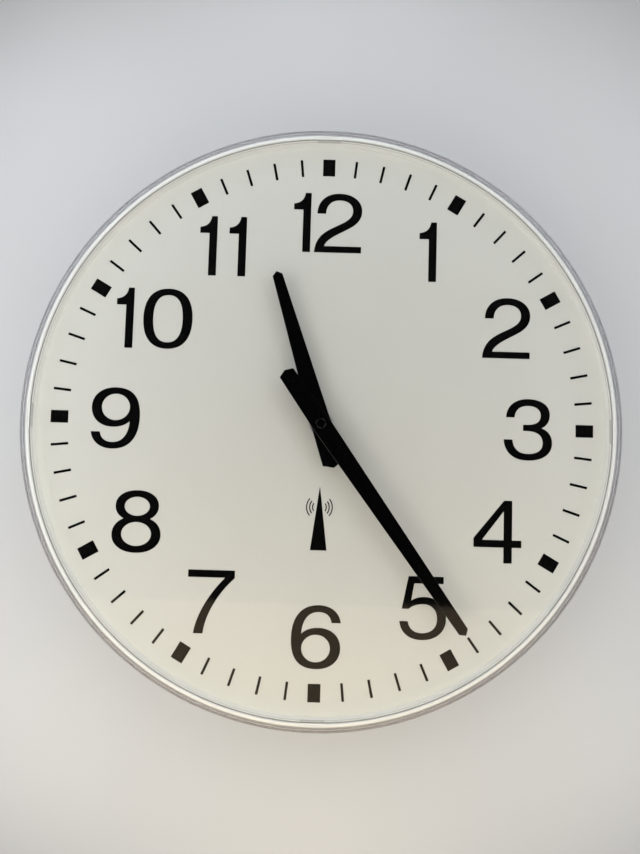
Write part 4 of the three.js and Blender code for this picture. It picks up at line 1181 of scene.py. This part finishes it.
def fromAngles(azimuth, elevation, distance):
    # azimuth 0 stands in front of the dial, negative to the left
    a, e = math.radians(azimuth), math.radians(elevation)
    return Vector((math.sin(a) * math.cos(e), -math.cos(a) * math.cos(e), math.sin(e))) * distance


def placeLamp(name, spot, size, power, colour):
    # a round lamp that faces the clock
    lamp = bpy.data.lights.new(name, "AREA")
    lamp.shape = "DISK"
    lamp.size = size
    lamp.energy = power
    lamp.color = colour
    stand = addObject(name, lamp)
    stand.location = spot
    stand.rotation_mode = "QUATERNION"
    stand.rotation_quaternion = spot.to_track_quat("Z", "Y")
    stand.visible_camera = False
    return stand


lampRing = {
    "lamps": 8, "reach": 0.33, "out": 0.19, "size": 0.24, "power": 0.29, "uneven": 0.3, "strongAt": 228,
    "cool": (0.94, 0.965, 1.02), "warm": (1.0, 0.84, 0.6),
}


def buildLampRing():
    # soft lamps all round light the dial up to its edge; the floor warms the lowest
    s = lampRing
    for index in range(s["lamps"]):
        angle = 360 * index / s["lamps"]
        a = math.radians(angle)
        power = s["power"] * (1 + s["uneven"] * math.cos(math.radians(angle - s["strongAt"])))
        # none in the upper half, most at the foot
        warmth = max(0, -math.cos(a)) ** 2
        colour = [cool + (warm - cool) * warmth for cool, warm in zip(s["cool"], s["warm"])]
        spot = Vector((s["reach"] * math.sin(a), -s["out"], s["reach"] * math.cos(a)))
        stand = placeLamp(f"ringLamp{index}", spot, s["size"], power, colour)
        stand.visible_glossy = False
        stand.visible_transmission = False
        # sampled from the dial alone, because the cover hides these lamps from scattered rays
        stand.data.cycles.use_multiple_importance_sampling = False


farLamps = {
    "fillLamp": {"from": (58, 40, 1.5), "size": 0.9, "power": 2.0, "colour": (0.95, 0.97, 1.0)},
    "rearLamp": {"from": (205, 30, 1.6), "size": 1.0, "power": 16, "colour": (1.0, 1.0, 1.0)},
}
cameraView = {
    "spot": (0.00359, -0.46453, -0.01407), "turn": (3.625, 0.033, 1.655), "lens": 27.02, "sensor": 36,
    "shift": (-0.00703, -0.02693), "clip": (0.01, 50),
}


def buildCamera():
    s = cameraView
    data = bpy.data.cameras.new("camera")
    data.lens = s["lens"]
    data.sensor_width = s["sensor"]
    data.shift_x, data.shift_y = s["shift"]
    data.clip_start, data.clip_end = s["clip"]
    camera = addObject("camera", data)
    turn = Vector([math.radians(angle) for angle in s["turn"]])
    tilt = Quaternion(turn.normalized(), turn.length).to_matrix().to_4x4()
    camera.matrix_world = Matrix.Translation(s["spot"]) @ upright @ tilt
    bpy.context.scene.camera = camera


buildStage()
buildWorld()
buildLampRing()
for name, lamp in farLamps.items():
    placeLamp(name, fromAngles(*lamp["from"]), lamp["size"], lamp["power"], lamp["colour"])
buildCamera()
bpy.context.scene.view_settings.view_transform = "Standard"
print("stage, light and camera set")
